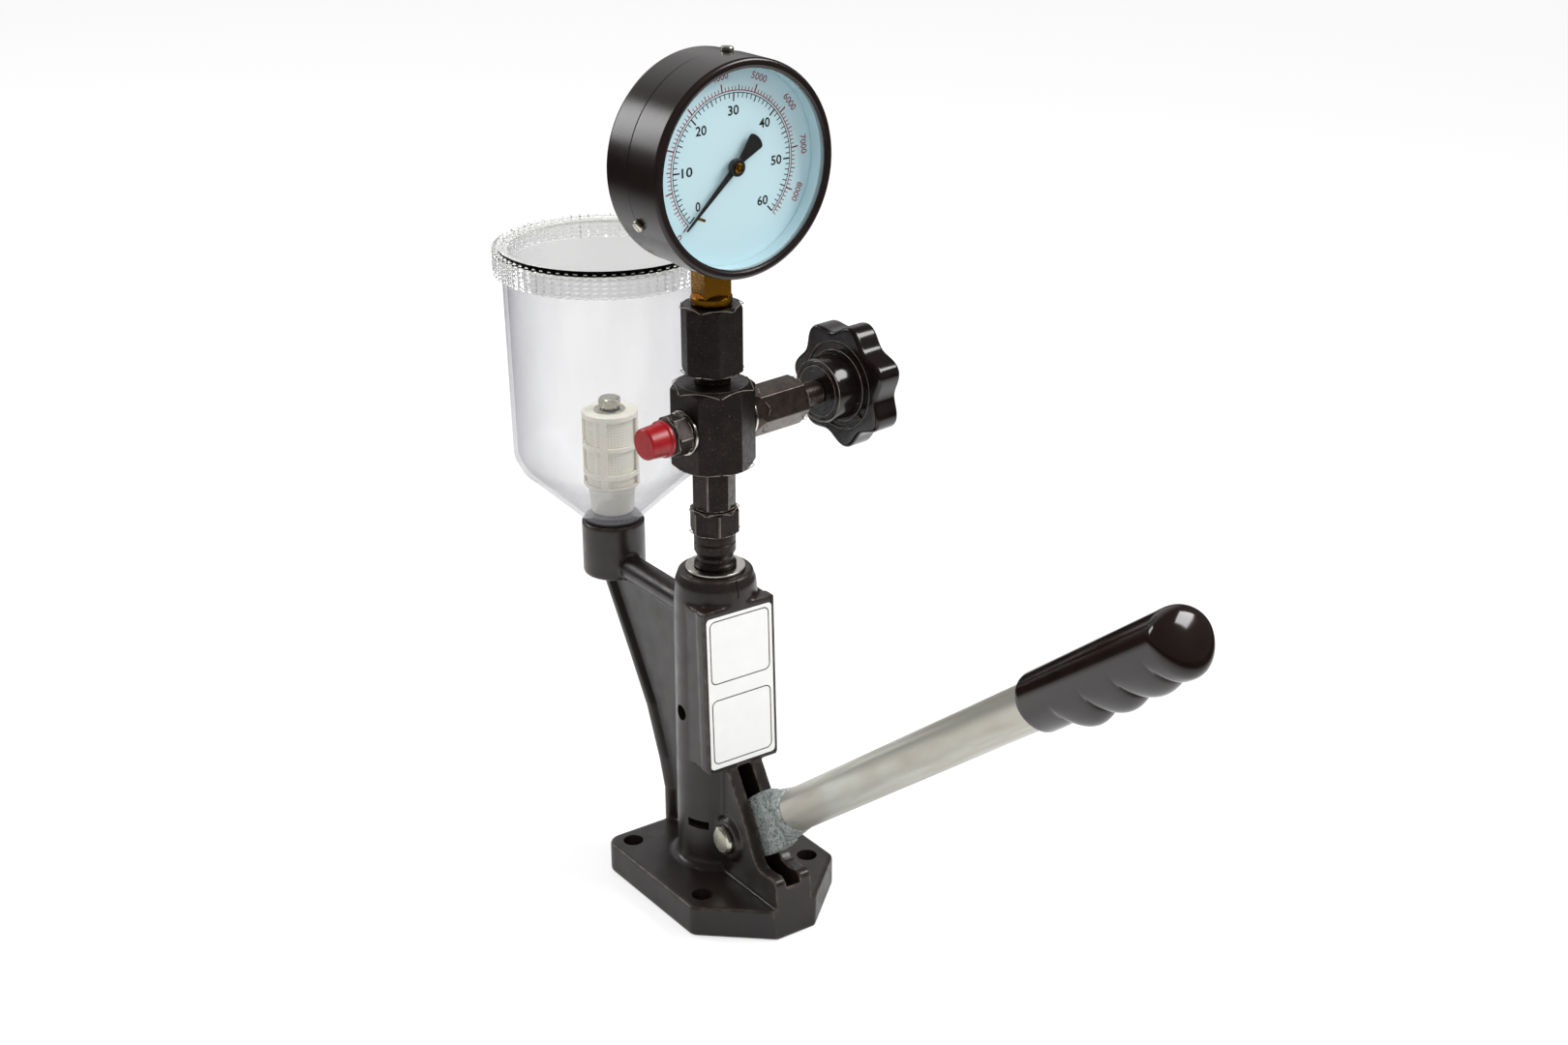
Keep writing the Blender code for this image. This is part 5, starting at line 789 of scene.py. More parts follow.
def make_stack():
    washer = lathe("column_washer", [(10, 177.5), (14.9, 177.5), (14.9, 176.1), (10, 176.1)], ease=0.3)
    finished(washer, GROUND, "stand", "top_washer", slot="ground_steel")
    neck = [
        (7.0, 222.0),
        (7.0, 195.4),
        (10.3, 195.4),
        (10.3, 191.2),
        (9.8, 190.7),
        (10.3, 190.2),
        (10.3, 186.0),
        (9.5, 184.61),
        (8.9, 183.03),
        (8.9, 181.38),
        (9.52, 180.19),
        (10.5, 179.4),
        (10.5, 177.8),
        (9.7, 177.8),
        (9.7, 170.6),
        (6.0, 170.6),
        (6.0, 187.0),
        (2.5, 187.0),
        (2.5, 222.0),
    ]
    holder = lathe("grooved_holder", neck, ease=0.35)
    finished(holder, OXIDE, "stand", "delivery_valve_holder", slot="black_oxide_steel", smooth=50)
    both = [OXIDE, OXIDE_EDGE]
    bore = [(7.3, 208.2), (7.3, 195.7)]
    nut = hexagon_bar("lock_nut_22", 22.0, 195.7, 208.2, 1.0, UPRIGHT, bore=bore, turn=radians(-22.2), edge=0.5)
    nut = fuse("lock_nut_22", [nut, *rubbed_lines(22.0, 195.7, 208.2, 1.0, UPRIGHT, radians(-22.2))])
    finished(nut, both, "stand", "lock_nut", slot="black_oxide_steel")
    bore = [(7.3, 229.8), (7.3, 208.5)]
    tube = hexagon_bar("riser_19", 18.7, 208.5, 229.8, 1.0, UPRIGHT, bore=bore, turn=radians(8.7), edge=0.5)
    stud = lathe("riser_stud", [(2.5, 243.0), (7.5, 243.0), (7.5, 229.0), (2.5, 229.0)])
    lines = rubbed_lines(18.7, 208.5, 229.8, 1.0, UPRIGHT, radians(8.7))
    finished(fuse("riser_hex", [tube, stud, *lines]), both, "stand", "riser", slot="black_oxide_steel")
    bore = [(7.8, 272.5), (7.8, 259.0), (2.5, 259.0), (2.5, 243.6), (7.8, 243.6), (7.8, 230.1)]
    blank = hexagon_bar("cross_block", 36.2, 230.1, 272.5, 2.3, UPRIGHT, bore=bore, turn=radians(6.85), edge=0.65)
    cross = [(0, 20.1), (8.3, 20.1), (8.3, 9.0), (3.6, 9.0), (3.6, 5.0), (2.0, 5.0), (2.0, -8.0), (6.3, -8.0)]
    cross += [(6.3, -20.1), (0, -20.1)]
    carve(blank, lathe("cross_bore", cross, VALVE, ease=0, closed=False, steps=64))
    blank = fuse("cross_block", [blank, *rubbed_lines(36.2, 230.1, 272.5, 2.3, UPRIGHT, radians(6.85))])
    finished(blank, both, "stand", "valve_block", slot="black_oxide_steel")
    neck = [
        (7.5, 292.0),
        (7.5, 278.0),
        (8.7, 278.0),
        (8.7, 275.9),
        (8.2, 275.4),
        (8.7, 274.9),
        (8.7, 272.8),
        (7.5, 272.8),
        (7.5, 259.5),
        (2.5, 259.5),
        (2.5, 292.0),
    ]
    nipple = lathe("short_nipple", neck, ease=0.25)
    finished(nipple, OXIDE, "stand", "coupler_nipple", slot="black_oxide_steel", smooth=50)
    bore = [(6.9, 311.2), (6.9, 296.0), (2.5, 296.0), (2.5, 292.3), (7.8, 292.3), (7.8, 278.3)]
    coupler = hexagon_bar("coupling_27", 27.0, 278.3, 311.2, 1.0, UPRIGHT, bore=bore, turn=radians(-22.2), edge=0.6)
    coupler = fuse("coupling_27", [coupler, *rubbed_lines(27.0, 278.3, 311.2, 1.0, UPRIGHT, radians(-22.2))])
    finished(coupler, both, "stand", "gauge_coupler", slot="black_oxide_steel")

    square = []
    for x, y in ((1, 1), (-1, 1), (-1, -1), (1, -1)):
        square.append((x * 7.1, y * 7.1, 0.5))
    shaft = plate("stem_square", rounded(square), 313.7, 329.4, Matrix.Rotation(radians(-6), 4, "Z"), edge=0.3)
    turned = [
        (0, 338.0),
        (5.0, 338.0),
        (5.0, 328.0),
        (6.6, 328.0),
        (6.6, 316.0),
        (9.2, 316.0),
        (10.0, 315.2),
        (10.0, 312.2),
        (9.3, 311.5),
        (6.6, 311.5),
        (6.6, 297.8),
        (0, 297.8),
    ]
    core = lathe("stem_core", turned, ease=0.3, closed=False)
    spin = Matrix.Rotation(radians(3.2), 4, "Z")
    socket = block("stem_socket", (-5.5, -1.7, 336.0), (5.5, 5.0, 353.0), spin)
    carve(core, shaft, "UNION")
    carve(core, socket, "UNION")
    hole = lathe("stem_bore", [(0, 345), (1.5, 345), (1.5, 290), (0, 290)], ease=0, closed=False, steps=32)
    finished(carve(core, hole), BRASS, "stand", "gauge_stem", slot="brass")


def make_outlet():
    ring = lathe("outlet_ring", [(6.3, 19.7), (11, 19.7), (11, 18.4), (6.3, 18.4)], OUTLET, ease=0.3)
    finished(ring, GROUND, "stand", "outlet_washer", slot="ground_steel")
    bore = [(1.5, 29.0), (1.5, 20.0)]
    nut = hexagon_bar("outlet_nut", 18.0, 20.0, 29.0, 1.0, OUTLET, bore=bore, turn=radians(4.2))
    stub = [
        (3.1, 40.0),
        (5.4, 40.0),
        (6.2, 39.2),
        (6.2, 28.8),
        (1.5, 28.8),
        (1.5, 36.9),
    ]
    nose = [(1.5, 20.2), (6.0, 20.2), (6.0, 8.3), (1.5, 8.3)]
    pieces = [nut, lathe("outlet_stub", stub, OUTLET), lathe("outlet_thread", nose, OUTLET)]
    pieces += rubbed_lines(18.0, 20.0, 29.0, 1.0, OUTLET, radians(4.2))
    dark = [OXIDE, OXIDE_WARM_EDGE]
    finished(fuse("outlet_union", pieces), dark, "stand", "outlet_connector", slot="black_oxide_steel")
    gasket = lathe("outlet_ring_seal", [(6.5, 30.3), (8.6, 30.3), (8.6, 29.3), (6.5, 29.3)], OUTLET, ease=0.4)
    finished(gasket, RUBBER, "stand", "outlet_gasket", slot="black_rubber")
    cap = [
        (0, 43.1),
        (6.9, 43.1),
        (7.7, 42.4),
        (8.3, 32.9),
        (8.5, 32.6),
        (9.1, 32.4),
        (9.1, 30.6),
        (6.5, 30.6),
        (6.5, 41.8),
        (0, 41.8),
    ]
    hood = lathe("red_cap", cap, OUTLET, ease=0.45, closed=False, steps=96)
    finished(hood, RED, "cap", "dust_cap", slot="red_plastic", smooth=50)


def threaded(name, radius, depth, pitch, low, high, matrix, steps=64):
    """A rod whose surface carries a rolled screw thread."""
    shape = bmesh.new()
    rows = int((high - low) / (pitch / 4)) + 1
    rings = []
    for k in range(rows + 1):
        height = low + (high - low) * k / rows
        ring = []
        for i in range(steps):
            angle = 2 * pi * i / steps
            phase = (height / pitch - i / steps) % 1.0
            groove = depth * (1 - abs(2 * phase - 1)) if low + 0.5 < height < high - 0.5 else 0.0
            ring.append(shape.verts.new(((radius - groove) * cos(angle), (radius - groove) * sin(angle), height)))
        rings.append(ring)
    for lower, upper in zip(rings, rings[1:]):
        for i in range(steps):
            j = (i + 1) % steps
            shape.faces.new((lower[i], lower[j], upper[j], upper[i]))
    shape.faces.new(list(reversed(rings[0])))
    shape.faces.new(rings[-1])
    return mesh_object(name, shape, matrix)


def make_valve():
    ring = lathe("gland_ring", [(8.3, 19.7), (11, 19.7), (11, 18.4), (8.3, 18.4)], VALVE, ease=0.3)
    finished(ring, GROUND, "stand", "gland_washer", slot="ground_steel")
    bar = hexagon_bar("gland_hex", 21.7, 20.0, 53.0, 1.2, VALVE, bore=[(6.5, 53.0), (6.5, 20.0)], turn=radians(9.5), edge=0.6)
    cone = [(10.6, 20.0), (12.8, 24.4), (16, 24.4), (16, 19.0), (10.6, 19.0)]
    carve(bar, lathe("gland_root", cone, VALVE, ease=0, steps=96))
    thread = lathe("gland_thread", [(6.5, 20.2), (8.0, 20.2), (8.0, 13.9), (6.5, 13.9)], VALVE)
    gland = fuse("gland_nut", [bar, thread, *rubbed_lines(21.7, 25.5, 53.0, 1.2, VALVE, radians(9.5))])
    finished(gland, [OXIDE_WARM, OXIDE_WARM_EDGE], "stand", "valve_gland", slot="black_oxide_steel")
    shaft = threaded("spindle_thread", 6.1, 0.42, 1.25, 16.3, 67.5, VALVE)
    tail = lathe("spindle_tail", [(0, 91.3), (5.0, 91.3), (5.0, 67.0), (0, 67.0)], VALVE, closed=False)
    finished(fuse("screwed_spindle", [shaft, tail]), OXIDE_WARM, "spindle", "valve_spindle", slot="ground_steel", smooth=60)

    lobes = []
    for i in range(7 * 28):
        angle = 2 * pi * i / (7 * 28)
        radius = 30.05 + 2.55 * cos(7 * angle)
        turn = angle + pi / 2 + radians(3)
        lobes.append((radius * cos(turn), radius * sin(turn)))
    disc = plate("knob_disc", lobes, 82.0, 96.45, VALVE, edge=2.0, segments=4)
    dish = [(0, 80), (23.2, 80), (23.2, 82.8), (0, 82.8)]
    carve(disc, lathe("knob_dish", dish, VALVE, ease=0, closed=False, steps=128))
    hub = [
        (0, 90.0),
        (17.3, 90.0),
        (17.3, 82.0),
        (16.9, 78.0),
        (16.35, 71.4),
        (16.15, 69.5),
        (15.85, 68.8),
        (15.2, 68.4),
        (14.6, 68.4),
        (14.35, 68.75),
        (13.65, 68.75),
        (13.4, 68.4),
        (10.4, 68.4),
        (10.2, 68.55),
        (9.4, 68.55),
        (9.2, 68.4),
        (7.7, 68.4),
        (7.7, 67.8),
        (0, 67.8),
    ]
    carve(disc, lathe("knob_hub", hub, VALVE, ease=0.15, closed=False, steps=128), "UNION")
    rim = lathe("knob_ring", [(21.7, 82.1), (22.8, 82.1), (22.8, 83.2), (21.7, 83.2)], VALVE, ease=0.5, steps=128)
    carve(disc, rim, "UNION")
    bead = lathe("knob_bead", [(17.0, 81.9), (18.3, 81.9), (18.3, 83.2), (17.0, 83.2)], VALVE, ease=0.5, steps=128)
    carve(disc, bead, "UNION")
    bore = [(0, 91.6), (5.3, 91.6), (5.3, 65.0), (0, 65.0)]
    carve(disc, lathe("knob_bore", bore, VALVE, ease=0, closed=False, steps=48))
    finished(disc, PHENOLIC, "spindle", "valve_knob", slot="black_plastic", smooth=40)
    # thin pale rings at the hub steps, the bead and the rim: painted highlights on these edges
    lines = []
    for radius, height in ((15.75, 68.75), (13.0, 68.4), (18.3, 82.0), (22.8, 82.25)):
        ring = [(radius - 0.18, height - 0.14), (radius + 0.18, height - 0.14), (radius + 0.18, height + 0.3)]
        ring.append((radius - 0.18, height + 0.3))
        lines.append(lathe("painted_highlight_ring", ring, VALVE, ease=0.1, steps=128))
    finished(fuse("knob_painted_highlight_rings", lines), KNOB_HIGHLIGHT_PAINT, "spindle", slot="black_plastic")


# Gauge


def make_gauge():
    wall = [
        (48.8, 15.8),
        (48.8, 6.0),
        (49.4, 6.0),
        (49.75, 5.9),
        (50.0, 5.5),
        *arc((47.0, -9.1), 3.0, 0, -pi / 2, 6),
        (0, -12.1),
        (0, -10.7),
        (45.8, -10.7),
        (47.4, -9.1),
        (47.4, 15.8),
    ]
    case = lathe("case_shell", wall, GAUGE, steps=160, ease=0.15, closed=True)
    hole = lathe("stem_opening", [(0, -46), (5.3, -46), (5.3, -52), (0, -52)], Matrix.Translation((0, 0, 380.2)), ease=0, closed=False, steps=48)
    carve(case, hole)
    finished(case, ENAMEL, "stand", "gauge_case", slot="black_enamel", smooth=40)
    rim = [
        (45.9, 27.0),
        (45.7, 27.3),
        (46.4, 27.55),
        (47.1, 27.95),
        *arc((48.6, 26.1), 1.9, pi / 2, 0, 6),
        (50.5, 6.9),
        (50.2, 6.45),
        (49.8, 6.3),
        (49.2, 6.3),
        (49.2, 26.8),
    ]
    bezel = lathe("bezel_ring", rim, GAUGE, steps=160, ease=0.12)
    finished(bezel, ENAMEL, "stand", "gauge_bezel", slot="black_enamel", smooth=40)
    pane = lathe("window_pane", [(0, 26.5), (48.9, 26.5), (48.9, 24.5), (0, 24.5)], GAUGE, steps=128, ease=0.1, closed=False)
    finished(pane, GLASS, "stand", "gauge_glass", slot="glass")
    ring = lathe("dial_wall", [(45.9, 24.2), (48.9, 24.2), (48.9, 17.6), (45.9, 17.6)], GAUGE, steps=128, ease=0.2)
    finished(ring, DIAL, "stand", "dial_ring", slot="dial_paint")
    face = lathe("dial_plate", [(2.0, 17.3), (48.9, 17.3), (48.9, 16.1), (2.0, 16.1)], GAUGE, steps=128, ease=0.08)
    finished(face, DIAL, "stand", "gauge_dial", slot="dial_paint")

    high = 17.335
    zero = -137.2
    span = 4.5
    black = []
    for count, every, inner, wide in ((61, 1, 31.0, 0.46), (13, 5, 30.4, 0.56), (7, 10, 29.5, 0.75)):
        tick = block("tick", (inner, -wide / 2, 17.3), (33.3, wide / 2, high))
        black.append(copies(tick, count, radians(zero), radians(-span * every), BLACK_INK))
    sweep = arc((0, 0), 33.5, radians(zero), radians(zero - 270), 160)
    back = arc((0, 0), 33.1, radians(zero - 270), radians(zero), 160)
    black.append(plate("black_arc", sweep + back, 17.3, high))
    for value in range(0, 70, 10):
        angle = radians(zero - span * value)
        x, y = (25.4 * cos(angle), 25.4 * sin(angle)) if value else (-19.7, -15.6)
        wide = 2.7 if value == 0 else 6.1
        black.append(lettering(str(value), 4.5, wide, Matrix.Translation((x, y, 17.34)), 0.02))
    scale = fuse("black_scale", black)
    finished(placed(scale, GAUGE), BLACK_INK, "stand", slot="pointer_paint")

    red = []
    step = 270 / 60 * 6.89476
    for count, every, outer, wide in ((88, 0.1, 36.3, 0.42), (18, 0.5, 36.9, 0.5), (9, 1.0, 38.2, 0.7)):
        tick = block("tick", (34.3, -wide / 2, 17.3), (outer, wide / 2, high))
        red.append(copies(tick, count, radians(zero), radians(-step * every), RED_INK))
    last = zero - step * 8.7
    sweep = arc((0, 0), 34.6, radians(zero), radians(last), 160)
    back = arc((0, 0), 34.15, radians(last), radians(zero), 160)
    red.append(plate("red_arc", sweep + back, 17.3, high))
    for value in range(9):
        angle = radians(zero - step * value)
        centre = Matrix.Translation((41.6 * cos(angle), 41.6 * sin(angle), 17.34))
        wide = 2.2 if value == 0 else 9.0
        text = "0" if value == 0 else f"{value}000"
        red.append(lettering(text, 3.3, wide, centre @ Matrix.Rotation(angle - pi / 2, 4, "Z"), 0.006))
    scale = fuse("red_scale", red)
    finished(placed(scale, GAUGE), RED_INK, "stand", slot="red_plastic")

    angle = radians(-133.22)
    spot = GAUGE @ Matrix.Translation((28.8 * cos(angle), 28.8 * sin(angle), 0))
    pin = lathe("stop_post", [(0, 22.3), (0.7, 22.3), (0.7, 16.1), (0, 16.1)], spot, steps=24, ease=0.15, closed=False)
    finished(pin, BRASS, "stand", "zero_stop_pin", slot="brass")

    at_rest = GAUGE @ Matrix.Translation((0, 0, 19.6)) @ Matrix.Rotation(radians(-138), 4, "Z")
    upper = [(37.5, 0.3), (4.0, 1.4), (-4.2, 1.4), (-15.2, 4.4), (-15.8, 4.38), (-16.4, 4.1), (-17.0, 3.2), (-17.4, 2.0)]
    upper.append((-17.6, 0.8))
    needle = upper + [(x, -y) for x, y in reversed(upper)]
    hand = plate("pointer_hand", needle, 0, 1.0, at_rest, edge=0.12)
    hub = lathe("pointer_boss", [(1.7, 2.4), (4.0, 2.4), (4.0, -0.3), (1.7, -0.3)], at_rest, ease=0.25)
    finished(fuse("pointer_hand", [hand, hub]), POINTER, "pointer_set", "pointer", slot="pointer_paint", smooth=40)

    cap = [(0, 22.75), (0.45, 22.75), (0.55, 23.0), (1.9, 23.0), (2.3, 22.6), (2.3, 22.3), (1.4, 22.3), (1.4, 1.0), (0, 1.0)]
    knurled = lathe("arbor_cap", cap, GAUGE, steps=48, ease=0.1, closed=False)
    cogs = []
    for i in range(8):
        turn = pi / 8 + 2 * pi * i / 8
        for r, a in ((2.0, -0.22), (3.35, -0.06), (3.35, 0.06), (2.0, 0.22)):
            cogs.append((r * cos(turn + a), r * sin(turn + a)))
    wheel = plate("pinion_teeth", cogs, 5.1, 7.9, GAUGE)
    finished(fuse("arbor_and_pinion", [knurled, wheel]), BRASS, "pointer_set", "pointer_arbor", slot="brass")

    for i, degrees in enumerate((85, 205, 325), start=1):
        angle = radians(degrees)
        spot = Matrix.Translation((50.8 * cos(angle), 50.8 * sin(angle), 8.6))
        axis = GAUGE @ spot @ Matrix.Rotation(angle, 4, "Z") @ Matrix.Rotation(pi / 2, 4, "Y")
        head = [(0, 1.8), (2.3, 1.8), (2.75, 1.6), (3.0, 1.2), (3.0, 0), (1.1, 0), (1.1, -3.8), (0, -3.8)]
        screw = lathe(f"cheese_head_{i}", head, axis, steps=40, ease=0.15, closed=False)
        tilt = axis @ Matrix.Rotation(radians(20 + 50 * i), 4, "Z")
        cuts = fuse("slot", [block("slot", (-4, -0.4, 1.0), (4, 0.4, 3), tilt)])
        finished(carve(screw, cuts), ZINC, "stand", f"bezel_screw_{i}", slot="zinc_plated_steel")


# Hand lever


def superellipse(half_x, half_y, height, power, steps=96):
    points = []
    for i in range(steps):
        angle = 2 * pi * (i + 0.5) / steps
        x = abs(cos(angle)) ** (2 / power) * (1 if cos(angle) > 0 else -1)
        y = abs(sin(angle)) ** (2 / power) * (1 if sin(angle) > 0 else -1)
        points.append((half_x * x, half_y * y, height))
    return points


def make_lever():
    bend = pi - (radians(37.4) - 0.28)
    top = [(40.0, 13.4), (36.0, 14.5), (32.0, 15.1), (24.0, 15.0), (18.0, 14.5), (10.0, 11.85)]
    bottom = [(12.2, -14.8), (18.0, -15.4), (26.0, -15.8), (33.0, -15.2), (40.0, -13.5)]
    outline = [(h, s) for s, h in top]
    outline += [(y, x) for x, y in arc((0, 0), 10, radians(80), radians(125), 6)]
    root = (11.8 * cos(bend), 11.8 * sin(bend))
    outline.append((root[1] + 3 * sin(bend - pi / 2), root[0] + 3 * cos(bend - pi / 2)))
    centre = (25 * cos(bend), 25 * sin(bend))
    outline += [(y, x) for x, y in arc(centre, 3, bend - pi / 2, bend + pi / 2, 12)]
    outline.append((root[1] + 3 * cos(bend), root[0] - 3 * sin(bend)))
    outline += [(y, x) for x, y in arc((0, 0), 10, radians(195), radians(265), 8)]
    outline += [(h, s) for s, h in bottom]
    flat = cast(plate("lever_flat", outline, -3.6, 3.6, LEVER @ SIDE, edge=0.5), 0.45, 2, 0.7)
    # the socket swells from a low ridge across the slab to the tube's round
    swells = [(3.5, 13.4, 37.6, 9), (3.95, 13.6, 39.2, 8), (3.8, 13.5, 40.2, 7), (3.0, 13.2, 41.2, 6), (3.4, 13.0, 42.4, 5)]
    swells += [(5.0, 12.7, 43.8, 4.4), (7.3, 12.4, 45.4, 3.6), (9.0, 12.1, 47.8, 2.9), (10.2, 11.7, 50.6, 2.4), (10.9, 11.3, 53.6, 2.1)]
    swells += [(11.1, 11.1, 56.4, 2.0), (10.9, 10.9, 57.0, 2.0)]
    sections = []
    for wide, tall, along, power in swells:
        fade = min((57 - along) / 16, 1)
        ring = superellipse(wide, tall, along, power)
        sections.append([(x, y, z - fade * (2.0 if y < 0 else 0.7) * (y / 13) ** 2) for x, y, z in ring])
    flare = skin("lever_flare", sections, LEVER)
    spigot = lathe("lever_spigot", [(0, 66), (8.35, 66), (8.35, 50), (0, 50)], LEVER, closed=False)
    pin_hole = lathe("eye", [(0, 5.7), (5.3, 5.7), (5.3, -5.7), (0, -5.7)], PIVOT, ease=0, closed=False, steps=64)
    carve(flat, pin_hole)
    head = fuse("forged_head", [flat, flare, spigot])
    finished(head, FORGING, "lever", "lever_head", slot="rough_zinc", smooth=45)
    tube = lathe("zinc_tube", [(8.65, 366.5), (10.65, 366.5), (10.65, 52.3), (8.65, 52.3)], LEVER, ease=0.4, steps=96)
    finished(tube, ZINC_TUBE, "lever", "lever_tube", slot="zinc_plated_steel")

    rows = [(270.3, -1.0, 1.7), (270.6, -0.4, 1.7), (271.3, 0, 1.7)]
    rows += [(271.3 + 18.7 * i / 10, 0, 1.7 * (1 - (i / 10) ** 4)) for i in range(1, 11)]
    for first, deep in ((290, 6.2), (312, 5.9), (334, 5.0)):
        rows += [(first + 22 * i / 24, 0, deep * abs(sin(pi * i / 24)) ** 0.55) for i in range(1, 25)]
    rows += [(356 + 7.4 * i / 8, 0, 3.6 * sin(pi / 2 * min(i / 6, 1)) ** 0.7) for i in range(1, 9)]
    sections = []
    for along, trim, depth in rows:
        share = (along - 271.3) / 92
        sections.append((along, 13.2 + 1.7 * share + trim, 12.55 + 0.4 * share + trim, 0.95, depth))
    _, side, tall, middle, depth = sections[-1]
    for i in range(1, 19):
        turn = pi / 2 * i / 18.6
        scale = (1 - sin(turn) ** 2.5) ** (1 / 2.5)
        lower = middle * scale - 0.3 * (1 - scale)
        sections.append((363.4 + 9.3 * sin(turn), side * scale, tall * scale, lower, depth * scale))
    rings = []
    for along, side, tall, middle, depth in sections:
        ring = []
        for i in range(96):
            angle = 2 * pi * (i + 0.5) / 96
            droop = depth * max(0, -sin(angle)) ** 1.7
            ring.append((side * cos(angle), middle + tall * sin(angle) - droop, along))
        rings.append(ring)
    grip = skin("vinyl_grip", rings, LEVER)
    bore = lathe("grip_bore", [(0, 366.8), (10.95, 366.8), (10.95, 258.0), (0, 258.0)], LEVER, ease=0, closed=False, steps=96)
    finished(carve(grip, bore), VINYL, "lever", "lever_grip", slot="black_plastic", smooth=60)

    pin = [
        (0, 16.4),
        (4.2, 16.4),
        (5.0, 15.6),
        (5.0, 14.9),
        (4.2, 14.9),
        (4.2, 13.5),
        (5.0, 13.5),
        (5.0, -13.5),
        (7.75, -13.5),
        (7.75, -14.6),
        (7.3, -15.5),
        (5.9, -16.2),
        (3.4, -16.45),
        (0, -16.5),
    ]
    rivet = lathe("hinge_pin", pin, PIVOT, steps=64, ease=0.15, closed=False)
    finished(rivet, ZINC, "stand", "pivot_pin", slot="zinc_plated_steel", smooth=50)
    outer = asin(2.8 / 8.0)
    inner = asin(2.8 / 4.5)
    outline = arc((0, 0), 8.0, outer, 2 * pi - outer, 48) + arc((0, 0), 4.5, 2 * pi - inner, inner, 36)
    clip = plate("spring_clip", outline, 13.8, 14.6, PIVOT, edge=0.1)
    finished(clip, SPRING, "stand", "pivot_clip", slot="spring_steel")


# Fuel container


def make_container():
    ring = lathe("bowl_foot_seal", [(10.6, 171.4), (15, 171.4), (15, 170.2), (10.6, 170.2)], BOWL, ease=0.35)
    finished(ring, RUBBER, "stand", "bowl_seal", slot="black_rubber")
    outer = [
        (51.4, 314.0),
        (51.4, 299.2),
        (50.07, 210.0),
        (49.75, 207.8),
        (48.8, 205.8),
        (46.75, 201.5),
        (15.6, 171.7),
        (3.6, 171.7),
    ]
    inner = [(3.6, 174.5), (15.6, 174.5), (44.55, 202.6), (46.6, 206.35), (47.87, 210.0), (49.2, 299.2), (49.2, 314.0)]
    bowl = lathe("clear_bowl", outer + inner, BOWL, steps=160, ease=0.6)
    hole = lathe("fuel_passage", [(0, 178), (2, 178), (2, 168), (0, 168)], Matrix.Translation((0, 88.4, 0)), ease=0, closed=False, steps=32)
    finished(carve(bowl, hole), ACRYLIC, "stand", "container_bowl", slot="clear_plastic", smooth=40)

    cage = [
        (3.6, 230.1),
        (14.6, 230.1),
        (14.6, 190.0),
        (12.4, 188.8),
        (10.9, 174.8),
        (9.3, 174.8),
        (10.8, 188.8),
        (13.0, 190.0),
        (13.0, 228.5),
        (3.6, 228.5),
    ]
    body = lathe("strainer_cage", cage, BOWL, steps=96, ease=0.3)
    edges = [189.9, 197.0, 212.0, 228.5]
    for low, high in zip(edges, edges[1:]):
        for x, y in ((17, 8.8), (8.8, 17)):
            carve(body, block("window", (-x, 96.4 - y, low + 1.1), (x, 96.4 + y, high - 1.1)))
    finished(body, IVORY, "stand", "strainer_frame", slot="ivory_plastic", smooth=40)
    mesh = lathe("gauze_sleeve", [(12.0, 228.2), (12.7, 228.2), (12.7, 190.3), (12.0, 190.3)], BOWL, steps=96, ease=0.1)
    finished(mesh, GAUZE, "stand", "strainer_mesh", slot="filter_gauze")
    washer = lathe("strainer_washer", [(3.6, 231.0), (8, 231.0), (8, 230.4), (3.6, 230.4)], BOWL, ease=0.15, steps=64)
    finished(washer, ZINC, "stand", "bolt_washer", slot="zinc_plated_steel")
    bolt = hexagon_bar("strainer_screw", 10.0, 231.3, 236.9, 0.6, BOWL, turn=radians(10), edge=0.2)
    shank = lathe("screw_shank", [(0, 232.0), (3.0, 232.0), (3.0, 155.5), (0, 155.5)], BOWL, steps=32, closed=False)
    finished(fuse("strainer_screw", [bolt, shank]), ZINC, "stand", "strainer_bolt", slot="zinc_plated_steel")
    ring = lathe("lid_ring_seal", [(48.3, 315.9), (51.4, 315.9), (51.4, 314.3), (48.3, 314.3)], BOWL, steps=128, ease=0.4)
    finished(ring, CLEAR_SEAL, "lid_seal", "lid_gasket", slot="black_rubber")

    ribs = 76
    around = ribs * 8
    shape = bmesh.new()
    top = [(0, 318.4, 0), (50.5, 318.4, 0), (50.8, 318.6, 0), (50.8, 319.3, 0), (51.1, 319.5, 0), (53.7, 319.5, 0), (54.5, 318.9, 0)]
    knurl = [(54.8, 318.5, 0.35), (54.8, 318.2, 1.0)]
    height = 318.2
    for row in range(5):
        knurl += [(54.8, height - 1.6, 1.0), (54.8, height - 1.75, 0.25), (54.8, height - 2.15, 0.25), (54.8, height - 2.3, 1.0)]
        height -= 2.3
    knurl += [(54.8, 305.9, 1.0), (54.8, 305.7, 0.6), (54.4, 305.7, 0)]
    inside = [(52.1, 305.7, 0), (52.1, 316.0, 0), (51.9, 316.2, 0), (0, 316.2, 0)]
    rings = []
    for radius, z, swell in top + knurl + inside:
        if radius == 0:
            rings.append([shape.verts.new((0, 0, z))] * around)
            continue
        ring = []
        for i in range(around):
            angle = 2 * pi * i / around
            share = (i % 8) / 8
            crest = 1.0 if 2 / 8 <= share <= 5 / 8 else 0.0
            reach = radius + swell * (1.25 * crest)
            ring.append(shape.verts.new((reach * cos(angle), reach * sin(angle), z)))
        rings.append(ring)
    for upper, lower in zip(rings, rings[1:]):
        for i in range(around):
            j = (i + 1) % around
            corners = list(dict.fromkeys((upper[i], lower[i], lower[j], upper[j])))
            if len(corners) > 2:
                shape.faces.new(corners)
    lid = mesh_object("knurled_lid", shape, BOWL)
    finished(lid, ACRYLIC_LID, "lid", "container_lid", slot="clear_plastic", smooth=30)


CLEAR_SEAL = moulded("clear lid seal", "#e8e8e4", "#dededa", 0.35, 3, 0.01)

make_stand()
make_stack()
make_outlet()
make_valve()
make_gauge()
make_lever()
make_container()


# Finish of the CAD nodes that stay

